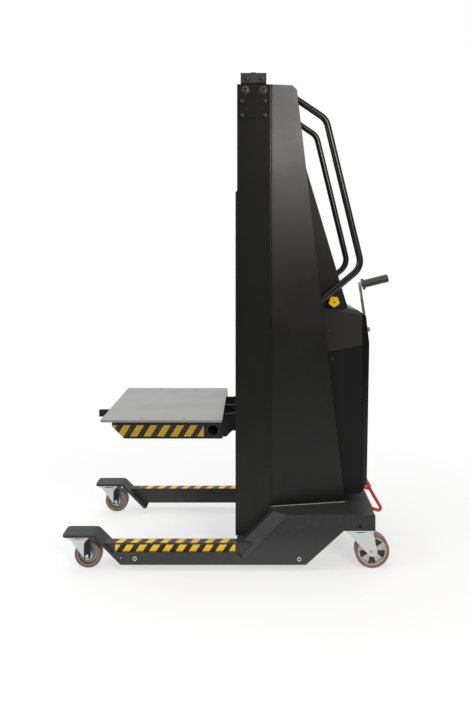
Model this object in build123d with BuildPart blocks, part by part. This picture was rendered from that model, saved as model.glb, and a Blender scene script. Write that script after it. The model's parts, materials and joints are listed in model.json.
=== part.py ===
from build123d import *

import os
from math import atan2, cos, degrees, radians, sin, tan

# Server lift trolley: two low legs on casters, a mast with a hand-cranked carriage and a deck.
# Millimetres, +Z up, +X towards the operator at the rear, -Y on the operator's left.
# Lengths along X are measured from the front face of the mast.

# Base and legs
overall_width = 610.0
leg_tip_reach = 629.0
leg_clearance = 24.0
leg_beam_width = 40.0
leg_beam_bottom = 36.0
leg_beam_height = 62.0
leg_beam_wall = 4.0
leg_beam_rear = 246.0
leg_cover_step = 10.0
leg_cover_lip_height = 44.0
gooseneck_width = 85.0
gooseneck_thickness = 9.0
gooseneck_bottom = 121.0
gooseneck_flat = 117.0
gooseneck_bend = 16.0
gooseneck_corner = 12.0
wing_top = 204.0
wing_rear = 500.0
wing_belly = 146.0
wing_bevel = 36.0
wing_wall = 3.0
wing_pocket_front = 310.0
wing_pocket_rear = 478.0
bevel_overcut = 1.0
wing_rise_start = 250.0
wing_rise_end = 386.0
wing_crest_x = 132.0
wing_inner_edge = 150.0
wing_tail_chamfer = 3.0
front_beam_height = 60.0
rear_beam_front = 392.0

# Mast
post_depth = 122.0
post_outer = 228.0
post_width = 70.0
post_wall = 6.0
mast_top = 1774.0
post_cap_height = 46.0
post_cap_inset = 13.0
post_cap_lug_width = 21.0
post_cap_lug_rise = 3.0
post_plate_size = (104.0, 68.0)
post_plate_drop = 50.0
post_plate_thickness = 3.0
front_strip_thickness = 6.0
front_strip_drop = 395.0
top_beam_height = 8.0
sheet = 2.0
seam = 0.5

# Tower covers
cover_taper = 0.169
cover_rear_top = 222.0
cover_rear_slope = 0.119
cover_top_chamfer = 16.0
cover_margin = 11.0
cover_mouth_half = 170.0
spine_half = 150.0
spine_peak_drop = 275.0
spine_base_rear = 423.0
box_top = 936.0
box_half = 172.0
box_shoulder_x = 465.0
box_shoulder_z = 926.0
box_crown_x = 492.0
box_crown_z = 905.0
box_rear = 507.0
box_waist_z = 800.0
box_tail_z = 263.0
box_tail_x = 495.0
box_heel_x = 465.0
box_heel_z = 232.0
box_corner_chamfer = 30.0
box_facet_drop = 22.0

# Push handles
handle_tube = 25.0
handle_half_spacing = 184.0
handle_bend = 62.0
handle_head_drop = 33.0
handle_head_sink = 21.0
handle_shoulder_drop = 122.0
handle_shoulder_reach = 99.5
handle_elbow_rise = 158.0
handle_elbow_reach = 168.0
handle_foot_rise = 17.0
handle_foot_sink = 20.0

# Crank and gearbox
crank_tilt = 14.0
crank_rake = 5.5
crank_x = 520.0
crank_z = 835.0
crank_length = 183.0
crank_arm_width = 24.0
crank_arm_thickness = 8.0
crank_shaft_radius = 8.0
crank_nut_radius = 9.0
crank_nut_length = 10.0
grip_length = 100.0
grip_radius = 14.0
grip_round = 4.5
grip_flange_radius = 21.0
grip_flange_length = 8.0
grip_spindle_radius = 6.0
grip_gap = 6.0
shaft_slot_half = 24.0
crank_bore_length = 96.0
gearbox_rear = 240.0
gearbox_half_width = 45.0
gearbox_height = 100.0
gearbox_corner = 12.5
gearbox_plate_thickness = 6.0
gearbox_plate_height = 150.0
output_x = 190.0
output_z = 775.0

# Belts and pulleys
pulley_radius = 38.2
pulley_x = 70.0
pulley_width = 27.0
pulley_flange = 4.0
pulley_flange_rise = 5.0
belt_thickness = 3.0
belt_width = 25.0
lower_shaft_rise = 92.0
upper_shaft_drop = 74.0
shaft_radius = 10.0
transfer_y = 64.0
bearing_plate_thickness = 8.0
bearing_plate_width = 60.0
lower_bearing_y = 100.0
upper_bearing_y = 28.0

# Carriage and deck
deck_top = 540.0
deck_thickness = 9.0
deck_front = -497.0
deck_rear = -52.0
deck_width = 565.0
deck_corner = 8.0
deck_edge_round = 1.5
arm_height = 60.0
arm_front = -455.0
arm_width = 34.0
arm_wall = 5.0
arm_nose = 45.0
arm_inset = 5.0
cross_tube_x = -87.0
cross_tube_radius = 22.0
cross_tube_wall = 3.0
cheek_outer = 150.0
cheek_thickness = 8.0
cheek_low = 443.0
cheek_notch = 466.0
cheek_high = 650.0
cheek_nose = -116.0
cheek_throat = 20.0
cheek_sweep = 34.0
back_plate_x = 10.0
back_plate_thickness = 8.0
pad_height = 70.0
clamp_low = 596.0
clamp_height = 40.0
clamp_half_width = 18.0
clamp_plate = 6.0
rib_tip = -563.0
rib_low = 483.0
rib_tip_height = 28.0
rib_thickness = 10.0
rib_round = 3.0

# Foot pedal
pedal_setback = 15.0
pedal_z = 158.0
pedal_tube_radius = 10.0
pedal_rod_radius = 6.0
pedal_pin_radius = 5.0
pedal_half = 118.0
pedal_bend = 9.0
pedal_heel_reach = 50.0
pedal_heel_drop = 16.0
pedal_top_lean = 15.0
pedal_top_rise = 96.0
pedal_bracket_thickness = 6.0

# Side knob
knob_setback = 48.0
knob_z = 962.0
knob_radius = 23.0
knob_depth = 22.0
knob_stem_radius = 5.0
knob_stem_length = 10.0
knob_lobes = 5
knob_corner = 6.5
knob_edge_round = 3.0

# Casters
front_wheel = 100.0
front_tread_width = 30.0
front_trail = 35.0
front_caster_setback = 52.0
front_tread_thickness = 9.0
front_crown_reach = 30.0
front_caster_y = 262.0
front_caster_plate = (86.0, 76.0)
rear_wheel = 125.0
rear_tread_width = 38.0
rear_trail = 44.0
rear_caster_setback = 51.0
rear_caster_y = 262.0
rear_tread_thickness = 11.0
rear_crown_reach = 45.0
rear_caster_plate = (100.0, 84.0)
hub_rim = 4.5
tread_round = 4.0
caster_plate_thickness = 4.0
caster_race_height = 6.0
caster_gap = 0.8
fork_sheet = 4.0
fork_side_gap = 2.5
axle_radius = 6.0
axle_head_radius = 9.5
axle_head = 6.0
kingpin_radius = 6.0
hub_boss_radius = 14.0
fork_boss_radius = 17.0
spoke_count = 5
spoke_window_width = 30.0
spoke_window_angle = 72.0
plate_hole_radius = 4.5

# Clearances
running_clearance = 0.05
contact_clearance = 0.3

# Derived places
half_width = overall_width / 2
leg_beam_top = leg_beam_bottom + leg_beam_height
leg_outer = half_width - leg_cover_step
leg_inner = leg_outer - leg_beam_width
gooseneck_top = gooseneck_bottom + gooseneck_thickness
gooseneck_bend_x = gooseneck_flat - leg_tip_reach
post_inner = post_outer - post_width
upper_shaft_z = mast_top - upper_shaft_drop
lower_shaft_z = leg_beam_top + lower_shaft_rise
spine_peak_z = mast_top - spine_peak_drop
tilt = radians(crank_tilt)
axis_x = cos(tilt)
axis_z = sin(tilt)
arm_lean = radians(crank_tilt - crank_rake)
arm_tip_x = crank_x - crank_length * sin(arm_lean)
arm_tip_z = crank_z + crank_length * cos(arm_lean)
grip_reach = crank_arm_thickness / 2 + grip_gap + grip_flange_length + grip_length
grip_end_x = arm_tip_x + (grip_reach - grip_round) * axis_x
rear_reach = grip_end_x + (grip_radius - grip_round) * axis_z + grip_round
frame_x = (leg_tip_reach - rear_reach) / 2

os.makedirs("parts", exist_ok=True)


def side_plane(y):
    """Plane seen from the operator's left: local x runs along X and local y along Z."""
    return Plane(origin=(frame_x, y, 0), x_dir=(1, 0, 0), z_dir=(0, -1, 0))


def plan_plane(z):
    """Level plane at a height."""
    return Plane(origin=(frame_x, 0, z))


def cross_plane(x):
    """Upright plane across the trolley: local x runs along Y and local y along Z."""
    return Plane(origin=(frame_x + x, 0, 0), x_dir=(0, 1, 0), z_dir=(1, 0, 0))


def tilted_plane(x, z, lean, along):
    """Plane square to an axis that leans up towards the rear, at a distance along it from a point."""
    origin = (frame_x + x + along * cos(lean), 0, z + along * sin(lean))
    return Plane(origin=origin, x_dir=(0, 1, 0), z_dir=(cos(lean), 0, sin(lean)))


def crank_plane(along):
    """Plane square to the crank axis, at a distance along it from the crank arm's middle."""
    return tilted_plane(crank_x, crank_z, tilt, along)


def arm_plane(along):
    """Plane along the crank arm, which is raked away from the box, at a distance from its middle."""
    return tilted_plane(crank_x, crank_z, arm_lean, along)


def spindle_plane(along):
    """Plane square to the grip's spindle, at a distance along it from the crank arm's middle."""
    return tilted_plane(arm_tip_x, arm_tip_z, tilt, along)


def keep(piece, name):
    """Labels a finished piece and writes it."""
    piece.part.label = name
    export_step(piece.part, f"parts/{name}.step")


def keep_pair(piece, name):
    """Writes a left-hand piece and its mirror image on the right."""
    keep(piece, "left_" + name)
    with BuildPart() as twin:
        mirror(piece.part, about=Plane.XZ)
    keep(twin, "right_" + name)


def keep_both(piece, name):
    """Writes a left-hand piece and its mirror image as two solids of one node."""
    with BuildPart() as both:
        add(piece.part)
        mirror(piece.part, about=Plane.XZ)
    keep(both, name)


# Leg beams: rectangular tubes, mitred at the front along the slope of the gooseneck
slope_gap = gooseneck_top - leg_beam_top
beam_nose_x = gooseneck_bend_x + slope_gap
beam_outline = [
    (beam_nose_x, leg_beam_top),
    (beam_nose_x + leg_beam_height, leg_beam_bottom),
    (leg_beam_rear, leg_beam_bottom),
    (leg_beam_rear, leg_beam_top),
]
with BuildPart() as leg_beam:
    with BuildSketch(side_plane(-leg_inner)):
        with BuildLine():
            Polyline(*beam_outline, close=True)
        make_face()
    extrude(amount=leg_beam_width)
    with BuildSketch(cross_plane(leg_beam_rear)):
        with Locations((-(leg_outer + leg_inner) / 2, leg_beam_bottom + leg_beam_height / 2)):
            Rectangle(leg_beam_width - 2 * leg_beam_wall, leg_beam_height - 2 * leg_beam_wall)
    extrude(amount=-(leg_beam_rear - beam_nose_x), mode=Mode.SUBTRACT)
keep_pair(leg_beam, "leg_beam")

# Goosenecks: flat bars that carry the front casters and bend down at 45 degrees to the leg
slope_drop = gooseneck_bottom - leg_clearance
bend_shift = gooseneck_thickness * tan(radians(22.5))
gooseneck_outline = [
    (-leg_tip_reach, gooseneck_bottom),
    (-leg_tip_reach, gooseneck_top),
    (gooseneck_bend_x, gooseneck_top),
    (gooseneck_bend_x + gooseneck_top - leg_clearance, leg_clearance),
    (gooseneck_bend_x - bend_shift + slope_drop, leg_clearance),
    (gooseneck_bend_x - bend_shift, gooseneck_bottom),
]
with BuildPart() as gooseneck:
    with BuildSketch(side_plane(gooseneck_width - half_width)) as bar_side:
        with BuildLine():
            Polyline(*gooseneck_outline, close=True)
        make_face()
        outer_fold = bar_side.vertices().sort_by_distance(Vector(*gooseneck_outline[2]))[0]
        fillet(outer_fold, gooseneck_bend + gooseneck_thickness)
        inner_fold = bar_side.vertices().sort_by_distance(Vector(*gooseneck_outline[5]))[0]
        fillet(inner_fold, gooseneck_bend)
    extrude(amount=gooseneck_width)
    tip_edges = gooseneck.edges().filter_by(Axis.Z).group_by(Axis.X)[0]
    fillet(tip_edges, gooseneck_corner)
keep_pair(gooseneck, "gooseneck")

# Leg covers: a low lip along the leg that grows into the wing over the rear caster
lip_top = leg_clearance + leg_cover_lip_height
lip_front = gooseneck_bend_x + gooseneck_top - lip_top
cover_outline = [
    (lip_front, lip_top),
    (lip_front + leg_cover_lip_height, leg_clearance),
    (wing_rise_start, leg_clearance),
    (wing_rise_end, wing_belly),
    (wing_rear, wing_belly),
    (wing_rear, wing_top - wing_tail_chamfer),
    (wing_rear - wing_tail_chamfer, wing_top),
    (wing_crest_x, wing_top),
    (wing_crest_x - wing_top + lip_top, lip_top),
]
wing_outline = [
    (wing_crest_x - wing_top + leg_beam_top, leg_beam_top + contact_clearance),
    (leg_beam_rear + contact_clearance, leg_beam_top + contact_clearance),
    (leg_beam_rear + contact_clearance, wing_belly),
    (wing_rear, wing_belly),
    (wing_rear, wing_top - wing_tail_chamfer),
    (wing_rear - wing_tail_chamfer, wing_top),
    (wing_crest_x, wing_top),
]
with BuildPart() as leg_cover:
    with BuildSketch(side_plane(-leg_outer - contact_clearance)):
        with BuildLine():
            Polyline(*cover_outline, close=True)
        make_face()
    extrude(amount=leg_cover_step - contact_clearance)
    with BuildSketch(side_plane(-post_outer - seam)):
        with BuildLine():
            Polyline(*wing_outline, close=True)
        make_face()
    extrude(amount=half_width - post_outer - seam)
    with BuildSketch(plan_plane(wing_belly)):
        with Locations(((post_depth + seam + wing_rear) / 2, -(wing_inner_edge + post_outer + seam) / 2)):
            Rectangle(wing_rear - post_depth - seam, post_outer + seam - wing_inner_edge)
    extrude(amount=wing_top - wing_belly)
    bevel_foot = Vector(frame_x + wing_crest_x - wing_top + lip_top, -half_width, lip_top)
    bevel_plane = Plane(origin=bevel_foot, x_dir=(0, 1, 0), z_dir=(1, 0, 1))
    with BuildSketch(bevel_plane):
        with BuildLine():
            Polyline(
                (-bevel_overcut, bevel_overcut),
                (wing_bevel + bevel_overcut, bevel_overcut),
                (-bevel_overcut, -wing_bevel - bevel_overcut),
                close=True,
            )
        make_face()
    extrude(amount=wing_top * 2, mode=Mode.SUBTRACT)
    with BuildSketch(cross_plane(wing_pocket_front)):
        with Locations((-(wing_inner_edge + half_width - wing_wall) / 2, (wing_belly + wing_top) / 2)):
            Rectangle(half_width - wing_wall - wing_inner_edge, wing_top - wing_belly - 2 * wing_wall)
    extrude(amount=wing_pocket_rear - wing_pocket_front, mode=Mode.SUBTRACT)
keep_pair(leg_cover, "leg_cover")

# Cross members of the base: rectangular tubes that run across between the legs
with BuildPart() as front_beam:
    with BuildSketch(side_plane(leg_inner)):
        with Locations((post_depth / 2, leg_beam_top - front_beam_height / 2)):
            Rectangle(post_depth, front_beam_height)
            Rectangle(
                post_depth - 2 * leg_beam_wall,
                front_beam_height - 2 * leg_beam_wall,
                mode=Mode.SUBTRACT,
            )
    extrude(amount=2 * leg_inner)
keep(front_beam, "base_front_beam")

rear_beam_depth = wing_rear - rear_beam_front
rear_beam_height = wing_top - wing_belly
with BuildPart() as rear_beam:
    with BuildSketch(side_plane(wing_inner_edge)):
        with Locations(((wing_rear + rear_beam_front) / 2, (wing_belly + wing_top) / 2)):
            Rectangle(rear_beam_depth, rear_beam_height)
            Rectangle(
                rear_beam_depth - 2 * leg_beam_wall,
                rear_beam_height - 2 * leg_beam_wall,
                mode=Mode.SUBTRACT,
            )
    extrude(amount=2 * wing_inner_edge)
keep(rear_beam, "base_rear_beam")

# Mast posts: channels that open towards each other and guide the carriage, with a strip down the front
post_height = mast_top - leg_beam_top
strip_top = mast_top - front_strip_drop
with BuildPart() as post:
    with BuildSketch(plan_plane(leg_beam_top)):
        with Locations((post_depth / 2, -post_outer + post_width / 2)):
            Rectangle(post_depth, post_width)
        with Locations((post_depth / 2, -post_outer + post_wall + post_width / 2)):
            Rectangle(post_depth - 2 * post_wall, post_width, mode=Mode.SUBTRACT)
    extrude(amount=post_height)
    with BuildSketch(side_plane(-post_inner)):
        with BuildLine():
            Polyline(
                (0, leg_beam_top),
                (0, strip_top),
                (-front_strip_thickness, strip_top - front_strip_thickness),
                (-front_strip_thickness, leg_beam_top),
                close=True,
            )
        make_face()
    extrude(amount=post_width)
keep_pair(post, "mast_post")

# Caps on the posts: a bolted block with a middle lug
cap_length = post_depth - 2 * post_cap_inset
with BuildPart() as post_cap:
    with BuildSketch(plan_plane(mast_top)):
        with Locations((post_depth / 2, -post_outer + post_width / 2)):
            Rectangle(cap_length, post_width - post_wall)
    extrude(amount=post_cap_height - post_cap_lug_rise)
    with BuildSketch(plan_plane(mast_top)):
        with Locations((post_depth / 2, -post_outer + post_width / 2)):
            Rectangle(post_cap_lug_width, post_width - 2 * post_wall)
    extrude(amount=post_cap_height)
    top_edges = post_cap.edges().filter_by(Axis.Y).group_by(Axis.Z)[-1]
    fillet(top_edges, post_cap_lug_rise - contact_clearance)
keep_both(post_cap, "post_caps")

# Square plates bolted to the posts near the top
with BuildPart() as post_plate:
    with BuildSketch(side_plane(-post_outer)):
        with Locations((post_depth / 2, mast_top - post_plate_drop - post_plate_size[1] / 2)):
            RectangleRounded(post_plate_size[0], post_plate_size[1], post_plate_thickness)
    extrude(amount=post_plate_thickness)
keep_both(post_plate, "post_plates")

# Top beam between the posts, with a lid over the tower behind it and two ears for the idler axle
panel_half = cover_mouth_half - seam
lid_rear = cover_rear_top - cover_top_chamfer - seam
lid_front = post_depth + seam
with BuildPart() as top_beam:
    with BuildSketch(plan_plane(mast_top)):
        with Locations((lid_rear / 2, 0)):
            Rectangle(lid_rear, 2 * post_inner)
        with Locations(((lid_front + lid_rear) / 2, 0)):
            Rectangle(lid_rear - lid_front, 2 * panel_half)
    extrude(amount=-top_beam_height)
    for ear_side in (-1, 1):
        ear_start = ear_side * upper_bearing_y + bearing_plate_thickness / 2
        with BuildSketch(side_plane(ear_start)):
            with Locations((pulley_x, (mast_top + upper_shaft_z - shaft_radius * 2) / 2)):
                Rectangle(bearing_plate_width, mast_top - upper_shaft_z + shaft_radius * 2)
            with Locations((pulley_x, upper_shaft_z)):
                Circle(shaft_radius + running_clearance, mode=Mode.SUBTRACT)
        extrude(amount=bearing_plate_thickness)
keep(top_beam, "mast_top_beam")

# Foot of the mast: two bearing plates that stand on the front beam
with BuildPart() as lower_bearings:
    for bearing_side in (-1, 1):
        bearing_start = bearing_side * lower_bearing_y + bearing_plate_thickness / 2
        with BuildSketch(side_plane(bearing_start)):
            with Locations((pulley_x, (lower_shaft_z + shaft_radius * 2 + leg_beam_top) / 2)):
                Rectangle(bearing_plate_width, lower_shaft_z + shaft_radius * 2 - leg_beam_top)
            with Locations((pulley_x, lower_shaft_z)):
                Circle(shaft_radius + running_clearance, mode=Mode.SUBTRACT)
        extrude(amount=bearing_plate_thickness)
keep(lower_bearings, "lower_bearing_plates")


def add_pulley(x, y, z):
    """Turns a flanged pulley about an axle along Y and adds it to the part being built."""
    rim = pulley_radius - belt_thickness / 2 - contact_clearance
    flange = pulley_radius + pulley_flange_rise
    half = pulley_width / 2
    with BuildSketch(Plane(origin=(frame_x + x, y, z))) as section:
        with BuildLine():
            Polyline(
                (0, -half - pulley_flange),
                (flange, -half - pulley_flange),
                (flange, -half),
                (rim, -half),
                (rim, half),
                (flange, half),
                (flange, half + pulley_flange),
                (0, half + pulley_flange),
                close=True,
            )
        make_face()
    revolve(section.sketch, axis=Axis((frame_x + x, y, z), (0, 1, 0)))


def add_shaft(x, z, y_from, y_to, radius):
    """Adds a round shaft along Y to the part being built."""
    with BuildSketch(side_plane(y_to)) as disc:
        with Locations((x, z)):
            Circle(radius)
    extrude(disc.sketch, amount=y_to - y_from)


def add_belt(low, high, y):
    """Adds a flat belt round two equal pulleys, as an outer loop less an inner one."""
    run = Vector(high[0] - low[0], high[1] - low[1])
    middle = ((low[0] + high[0]) / 2, (low[1] + high[1]) / 2)
    lean = degrees(atan2(run.Y, run.X))
    with BuildSketch(side_plane(y + belt_width / 2)) as loop:
        with Locations(middle):
            SlotCenterToCenter(run.length, 2 * pulley_radius + belt_thickness, rotation=lean)
            SlotCenterToCenter(
                run.length,
                2 * pulley_radius - belt_thickness,
                rotation=lean,
                mode=Mode.SUBTRACT,
            )
    extrude(loop.sketch, amount=belt_width)


# Lower drive shaft with its lift pulley and its transfer pulley
with BuildPart() as drive_shaft:
    reach = lower_bearing_y + bearing_plate_thickness
    add_shaft(pulley_x, lower_shaft_z, -reach, reach, shaft_radius)
    add_pulley(pulley_x, 0, lower_shaft_z)
    add_pulley(pulley_x, transfer_y, lower_shaft_z)
keep(drive_shaft, "lower_drive_shaft")

with BuildPart() as idler:
    reach = upper_bearing_y + bearing_plate_thickness
    add_shaft(pulley_x, upper_shaft_z, -reach, reach, shaft_radius)
    add_pulley(pulley_x, 0, upper_shaft_z)
keep(idler, "top_idler_pulley")

with BuildPart() as output_shaft:
    add_shaft(output_x, output_z, gearbox_half_width / 2, transfer_y + pulley_width, shaft_radius)
    add_pulley(output_x, transfer_y, output_z)
keep(output_shaft, "gearbox_output_shaft")

with BuildPart() as lift_belt:
    add_belt((pulley_x, lower_shaft_z), (pulley_x, upper_shaft_z), 0)
keep(lift_belt, "lift_belt")

with BuildPart() as transfer_belt:
    add_belt((pulley_x, lower_shaft_z), (output_x, output_z), transfer_y)
keep(transfer_belt, "transfer_belt")

# Gearbox on a plate across the backs of the posts
gearbox_front = post_depth + gearbox_plate_thickness
with BuildPart() as gearbox_plate:
    with BuildSketch(cross_plane(post_depth)):
        with Locations((0, output_z)):
            Rectangle(2 * (post_outer - post_wall), gearbox_plate_height)
    extrude(amount=gearbox_plate_thickness)
keep(gearbox_plate, "gearbox_plate")

gear_entry = (gearbox_front + gearbox_rear) / 2
shaft_start = -(crank_x - gear_entry) / axis_x
with BuildPart() as gearbox:
    with BuildSketch(cross_plane(gearbox_front)):
        with Locations((0, output_z)):
            RectangleRounded(2 * gearbox_half_width, gearbox_height, gearbox_corner)
    extrude(amount=gearbox_rear - gearbox_front)
    with BuildSketch(crank_plane(shaft_start - contact_clearance)):
        Circle(crank_shaft_radius + running_clearance)
    extrude(amount=gearbox_rear, mode=Mode.SUBTRACT)
    with BuildSketch(side_plane(gearbox_half_width)):
        with Locations((output_x, output_z)):
            Circle(shaft_radius + running_clearance)
    extrude(amount=gearbox_half_width / 2 + contact_clearance, mode=Mode.SUBTRACT)
keep(gearbox, "gearbox_housing")

# Crank: shaft, a flat arm that is raked outwards and the spindle of the grip
with BuildPart() as crank_shaft:
    with BuildSketch(crank_plane(shaft_start)):
        Circle(crank_shaft_radius)
    extrude(amount=-shaft_start)
    split(bisect_by=arm_plane(-crank_arm_thickness / 2), keep=Keep.BOTTOM)
keep(crank_shaft, "crank_shaft")

spindle_length = grip_reach - grip_gap
with BuildPart() as crank_arm:
    with BuildSketch(arm_plane(-crank_arm_thickness / 2)):
        with Locations((0, crank_length / 2)):
            SlotCenterToCenter(crank_length, crank_arm_width, rotation=90)
    extrude(amount=crank_arm_thickness)
    with BuildSketch(arm_plane(crank_arm_thickness / 2)):
        Circle(crank_nut_radius)
    extrude(amount=crank_nut_length)
    with BuildSketch(spindle_plane(0)):
        Circle(grip_spindle_radius)
    extrude(amount=spindle_length)
keep(crank_arm, "crank_arm")

grip_start = crank_arm_thickness / 2 + grip_gap
grip_plane = spindle_plane(grip_start)
with BuildPart() as grip:
    with BuildSketch(grip_plane):
        Circle(grip_flange_radius)
    extrude(amount=grip_flange_length)
    with BuildSketch(grip_plane.offset(grip_flange_length)):
        Circle(grip_radius)
    extrude(amount=grip_length)
    fillet(grip.edges().filter_by(GeomType.CIRCLE).sort_by(Axis.X)[-1], grip_round)
    with BuildSketch(grip_plane):
        Circle(grip_spindle_radius + running_clearance)
    extrude(amount=spindle_length - grip_start + contact_clearance, mode=Mode.SUBTRACT)
keep(grip, "crank_grip")

# Side covers: tapered sheet walls with a top and a return flange at the rear
cover_low = wing_top + seam
cover_front = post_depth + seam


def cover_rear_at(z):
    """Distance of the covers' sloping rear edge from the mast's front, at a height."""
    return cover_rear_top + (mast_top - z) * cover_rear_slope


cover_deep = cover_rear_at(cover_low) + cover_margin


def tower_plan(inset):
    """Corners of the tower's tapered plan, drawn in by a wall."""
    front_half = post_outer - inset
    rear_half = front_half - (cover_deep - cover_front) * cover_taper
    return [
        (cover_front, -front_half),
        (cover_deep, -rear_half),
        (cover_deep, rear_half),
        (cover_front, front_half),
    ]


def tower_side(inset):
    """Side outline of the tower behind the mast, drawn in by a wall."""
    top = mast_top - inset
    return [
        (cover_front, cover_low),
        (cover_rear_at(cover_low) - inset, cover_low),
        (cover_rear_at(top - cover_top_chamfer) - inset, top - cover_top_chamfer),
        (cover_rear_at(top) - cover_top_chamfer, top),
        (cover_front, top),
    ]


def add_tower(inset, mode):
    """Adds or cuts the tower's tapered form, drawn in by a wall."""
    with BuildPart(mode=Mode.PRIVATE) as form:
        with BuildSketch(plan_plane(cover_low)) as plan:
            with BuildLine():
                Polyline(*tower_plan(inset), close=True)
            make_face()
        extrude(amount=mast_top - cover_low)
        with BuildSketch(side_plane(overall_width)) as profile:
            with BuildLine():
                Polyline(*tower_side(inset), close=True)
            make_face()
        extrude(amount=2 * overall_width, mode=Mode.INTERSECT)
    add(form.part, mode=mode)


with BuildPart() as side_cover:
    add_tower(0, Mode.ADD)
    add_tower(sheet, Mode.SUBTRACT)
    with BuildSketch(cross_plane(cover_front)):
        with Locations((overall_width / 2 - cover_mouth_half, 0)):
            Rectangle(overall_width, 3 * mast_top)
    extrude(amount=overall_width, mode=Mode.SUBTRACT)
keep_pair(side_cover, "side_cover")

# Rear spine: a wedge between the side covers, above the control box
spine_front_low = cover_rear_at(box_top) + seam
spine_front_high = cover_rear_at(spine_peak_z) + seam
spine_outline = [
    (spine_front_low, box_top + seam),
    (spine_base_rear, box_top + seam),
    (spine_front_high, spine_peak_z),
]
with BuildPart() as spine:
    with BuildSketch(side_plane(spine_half)):
        with BuildLine():
            Polyline(*spine_outline, close=True)
        make_face()
    extrude(amount=2 * spine_half)
    front_face = spine.faces().sort_by(Axis.X)[0]
    offset(amount=-sheet, openings=[front_face])
keep(spine, "rear_spine_cover")

# Infill behind the mast, between the return flanges of the side covers: a lower and an upper sheet,
# which leave a slot for the crank's shaft behind the control box
shaft_slot_z = crank_z - (crank_x - cover_rear_at(output_z)) * tan(tilt)
with BuildPart() as infill:
    with BuildSketch(side_plane(panel_half)):
        with BuildLine():
            Polyline(*tower_side(0)[1:4], *reversed(tower_side(sheet)[1:4]), close=True)
        make_face()
    extrude(amount=2 * panel_half)
    with BuildSketch(side_plane(overall_width)):
        with Locations((cover_rear_at(shaft_slot_z), shaft_slot_z)):
            Rectangle(4 * shaft_slot_half, 2 * shaft_slot_half)
    extrude(amount=2 * overall_width, mode=Mode.SUBTRACT)
keep(infill, "rear_panel")

# Control box: a chamfered sheet housing that covers the crank shaft
box_outline = [
    (cover_rear_at(box_top) + seam, box_top),
    (spine_base_rear + seam, box_top),
    (box_shoulder_x, box_shoulder_z),
    (box_crown_x, box_crown_z),
    (box_rear, box_waist_z),
    (box_tail_x, box_tail_z),
    (box_heel_x, box_heel_z),
    (cover_rear_at(box_heel_z) + seam, box_heel_z),
]
with BuildPart() as control_box:
    with BuildSketch(side_plane(box_half)):
        with BuildLine():
            Polyline(*box_outline, close=True)
        make_face()
    extrude(amount=2 * box_half)
    with BuildSketch(plan_plane(box_heel_z)):
        with BuildLine():
            Polyline(
                (0, -box_half),
                (box_rear - box_corner_chamfer, -box_half),
                (box_rear + seam, -box_half + box_corner_chamfer),
                (box_rear + seam, box_half - box_corner_chamfer),
                (box_rear - box_corner_chamfer, box_half),
                (0, box_half),
                close=True,
            )
        make_face()
    extrude(amount=box_top - box_heel_z, mode=Mode.INTERSECT)
    for facet_side in (-1, 1):
        facet_start = Vector(frame_x + cover_rear_at(box_top) + seam, facet_side * box_half, box_top)
        facet_low = Vector(frame_x + box_shoulder_x, facet_side * box_half, box_top - box_facet_drop)
        facet_in = Vector(frame_x + spine_base_rear + seam, facet_side * spine_half, box_top)
        facet_up = (facet_low - facet_start).cross(facet_in - facet_start) * -facet_side
        split(bisect_by=Plane(origin=facet_start, z_dir=facet_up), keep=Keep.BOTTOM)
    front_face = control_box.faces().sort_by(Axis.X)[0]
    offset(amount=-sheet, openings=[front_face])
    with BuildSketch(crank_plane(-crank_bore_length)):
        Circle(crank_shaft_radius + sheet)
    extrude(amount=crank_bore_length, mode=Mode.SUBTRACT)
keep(control_box, "control_box")

# Push handles: bent tubes on the rear edges of the side covers
handle_head_z = mast_top - handle_head_drop
handle_shoulder_z = mast_top - handle_shoulder_drop
handle_elbow_z = box_top + handle_elbow_rise
handle_foot_z = box_top + handle_foot_rise
handle_route = [
    (cover_rear_at(handle_head_z) - handle_head_sink, handle_head_z),
    (cover_rear_at(handle_shoulder_z) + handle_shoulder_reach, handle_shoulder_z),
    (cover_rear_at(handle_elbow_z) + handle_elbow_reach, handle_elbow_z),
    (cover_rear_at(handle_foot_z) - handle_foot_sink, handle_foot_z),
]
with BuildPart() as handle:
    with BuildLine(side_plane(-handle_half_spacing)) as handle_line:
        FilletPolyline(*handle_route, radius=handle_bend)
    with BuildSketch(Plane(origin=handle_line.line @ 0, z_dir=handle_line.line % 0)):
        Circle(handle_tube / 2)
    sweep()
    seat = (frame_x + cover_rear_top + contact_clearance, 0, mast_top)
    split(bisect_by=Plane(origin=seat, z_dir=(1, 0, cover_rear_slope)), keep=Keep.TOP)
keep_pair(handle, "push_handle")

# Carriage: two cheeks, a back plate, slide pads in the posts and a clamp on the belt
deck_bottom = deck_top - deck_thickness
arm_low = deck_bottom - arm_height
tube_z = arm_low + arm_height / 2
cheek_outline = [
    (cheek_nose, deck_bottom - contact_clearance),
    (post_wall, deck_bottom - contact_clearance),
    (post_wall, cheek_high),
    (post_depth - post_wall, cheek_high),
    (post_depth - post_wall, cheek_notch),
    (-cheek_throat, cheek_notch),
    (-cheek_throat - cheek_notch + cheek_low, cheek_low),
    (cheek_nose + arm_nose, cheek_low),
    (cheek_nose, cheek_low + arm_nose),
]
with BuildPart() as cheek:
    with BuildSketch(side_plane(cheek_thickness - cheek_outer)) as cheek_face:
        with BuildLine():
            Polyline(*cheek_outline, close=True)
        make_face()
        fillet(cheek_face.vertices().sort_by_distance(Vector(*cheek_outline[1]))[0], cheek_sweep)
        with Locations((cross_tube_x, tube_z)):
            Circle(cross_tube_radius + running_clearance, mode=Mode.SUBTRACT)
    extrude(amount=cheek_thickness)
keep_pair(cheek, "carriage_cheek")

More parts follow.
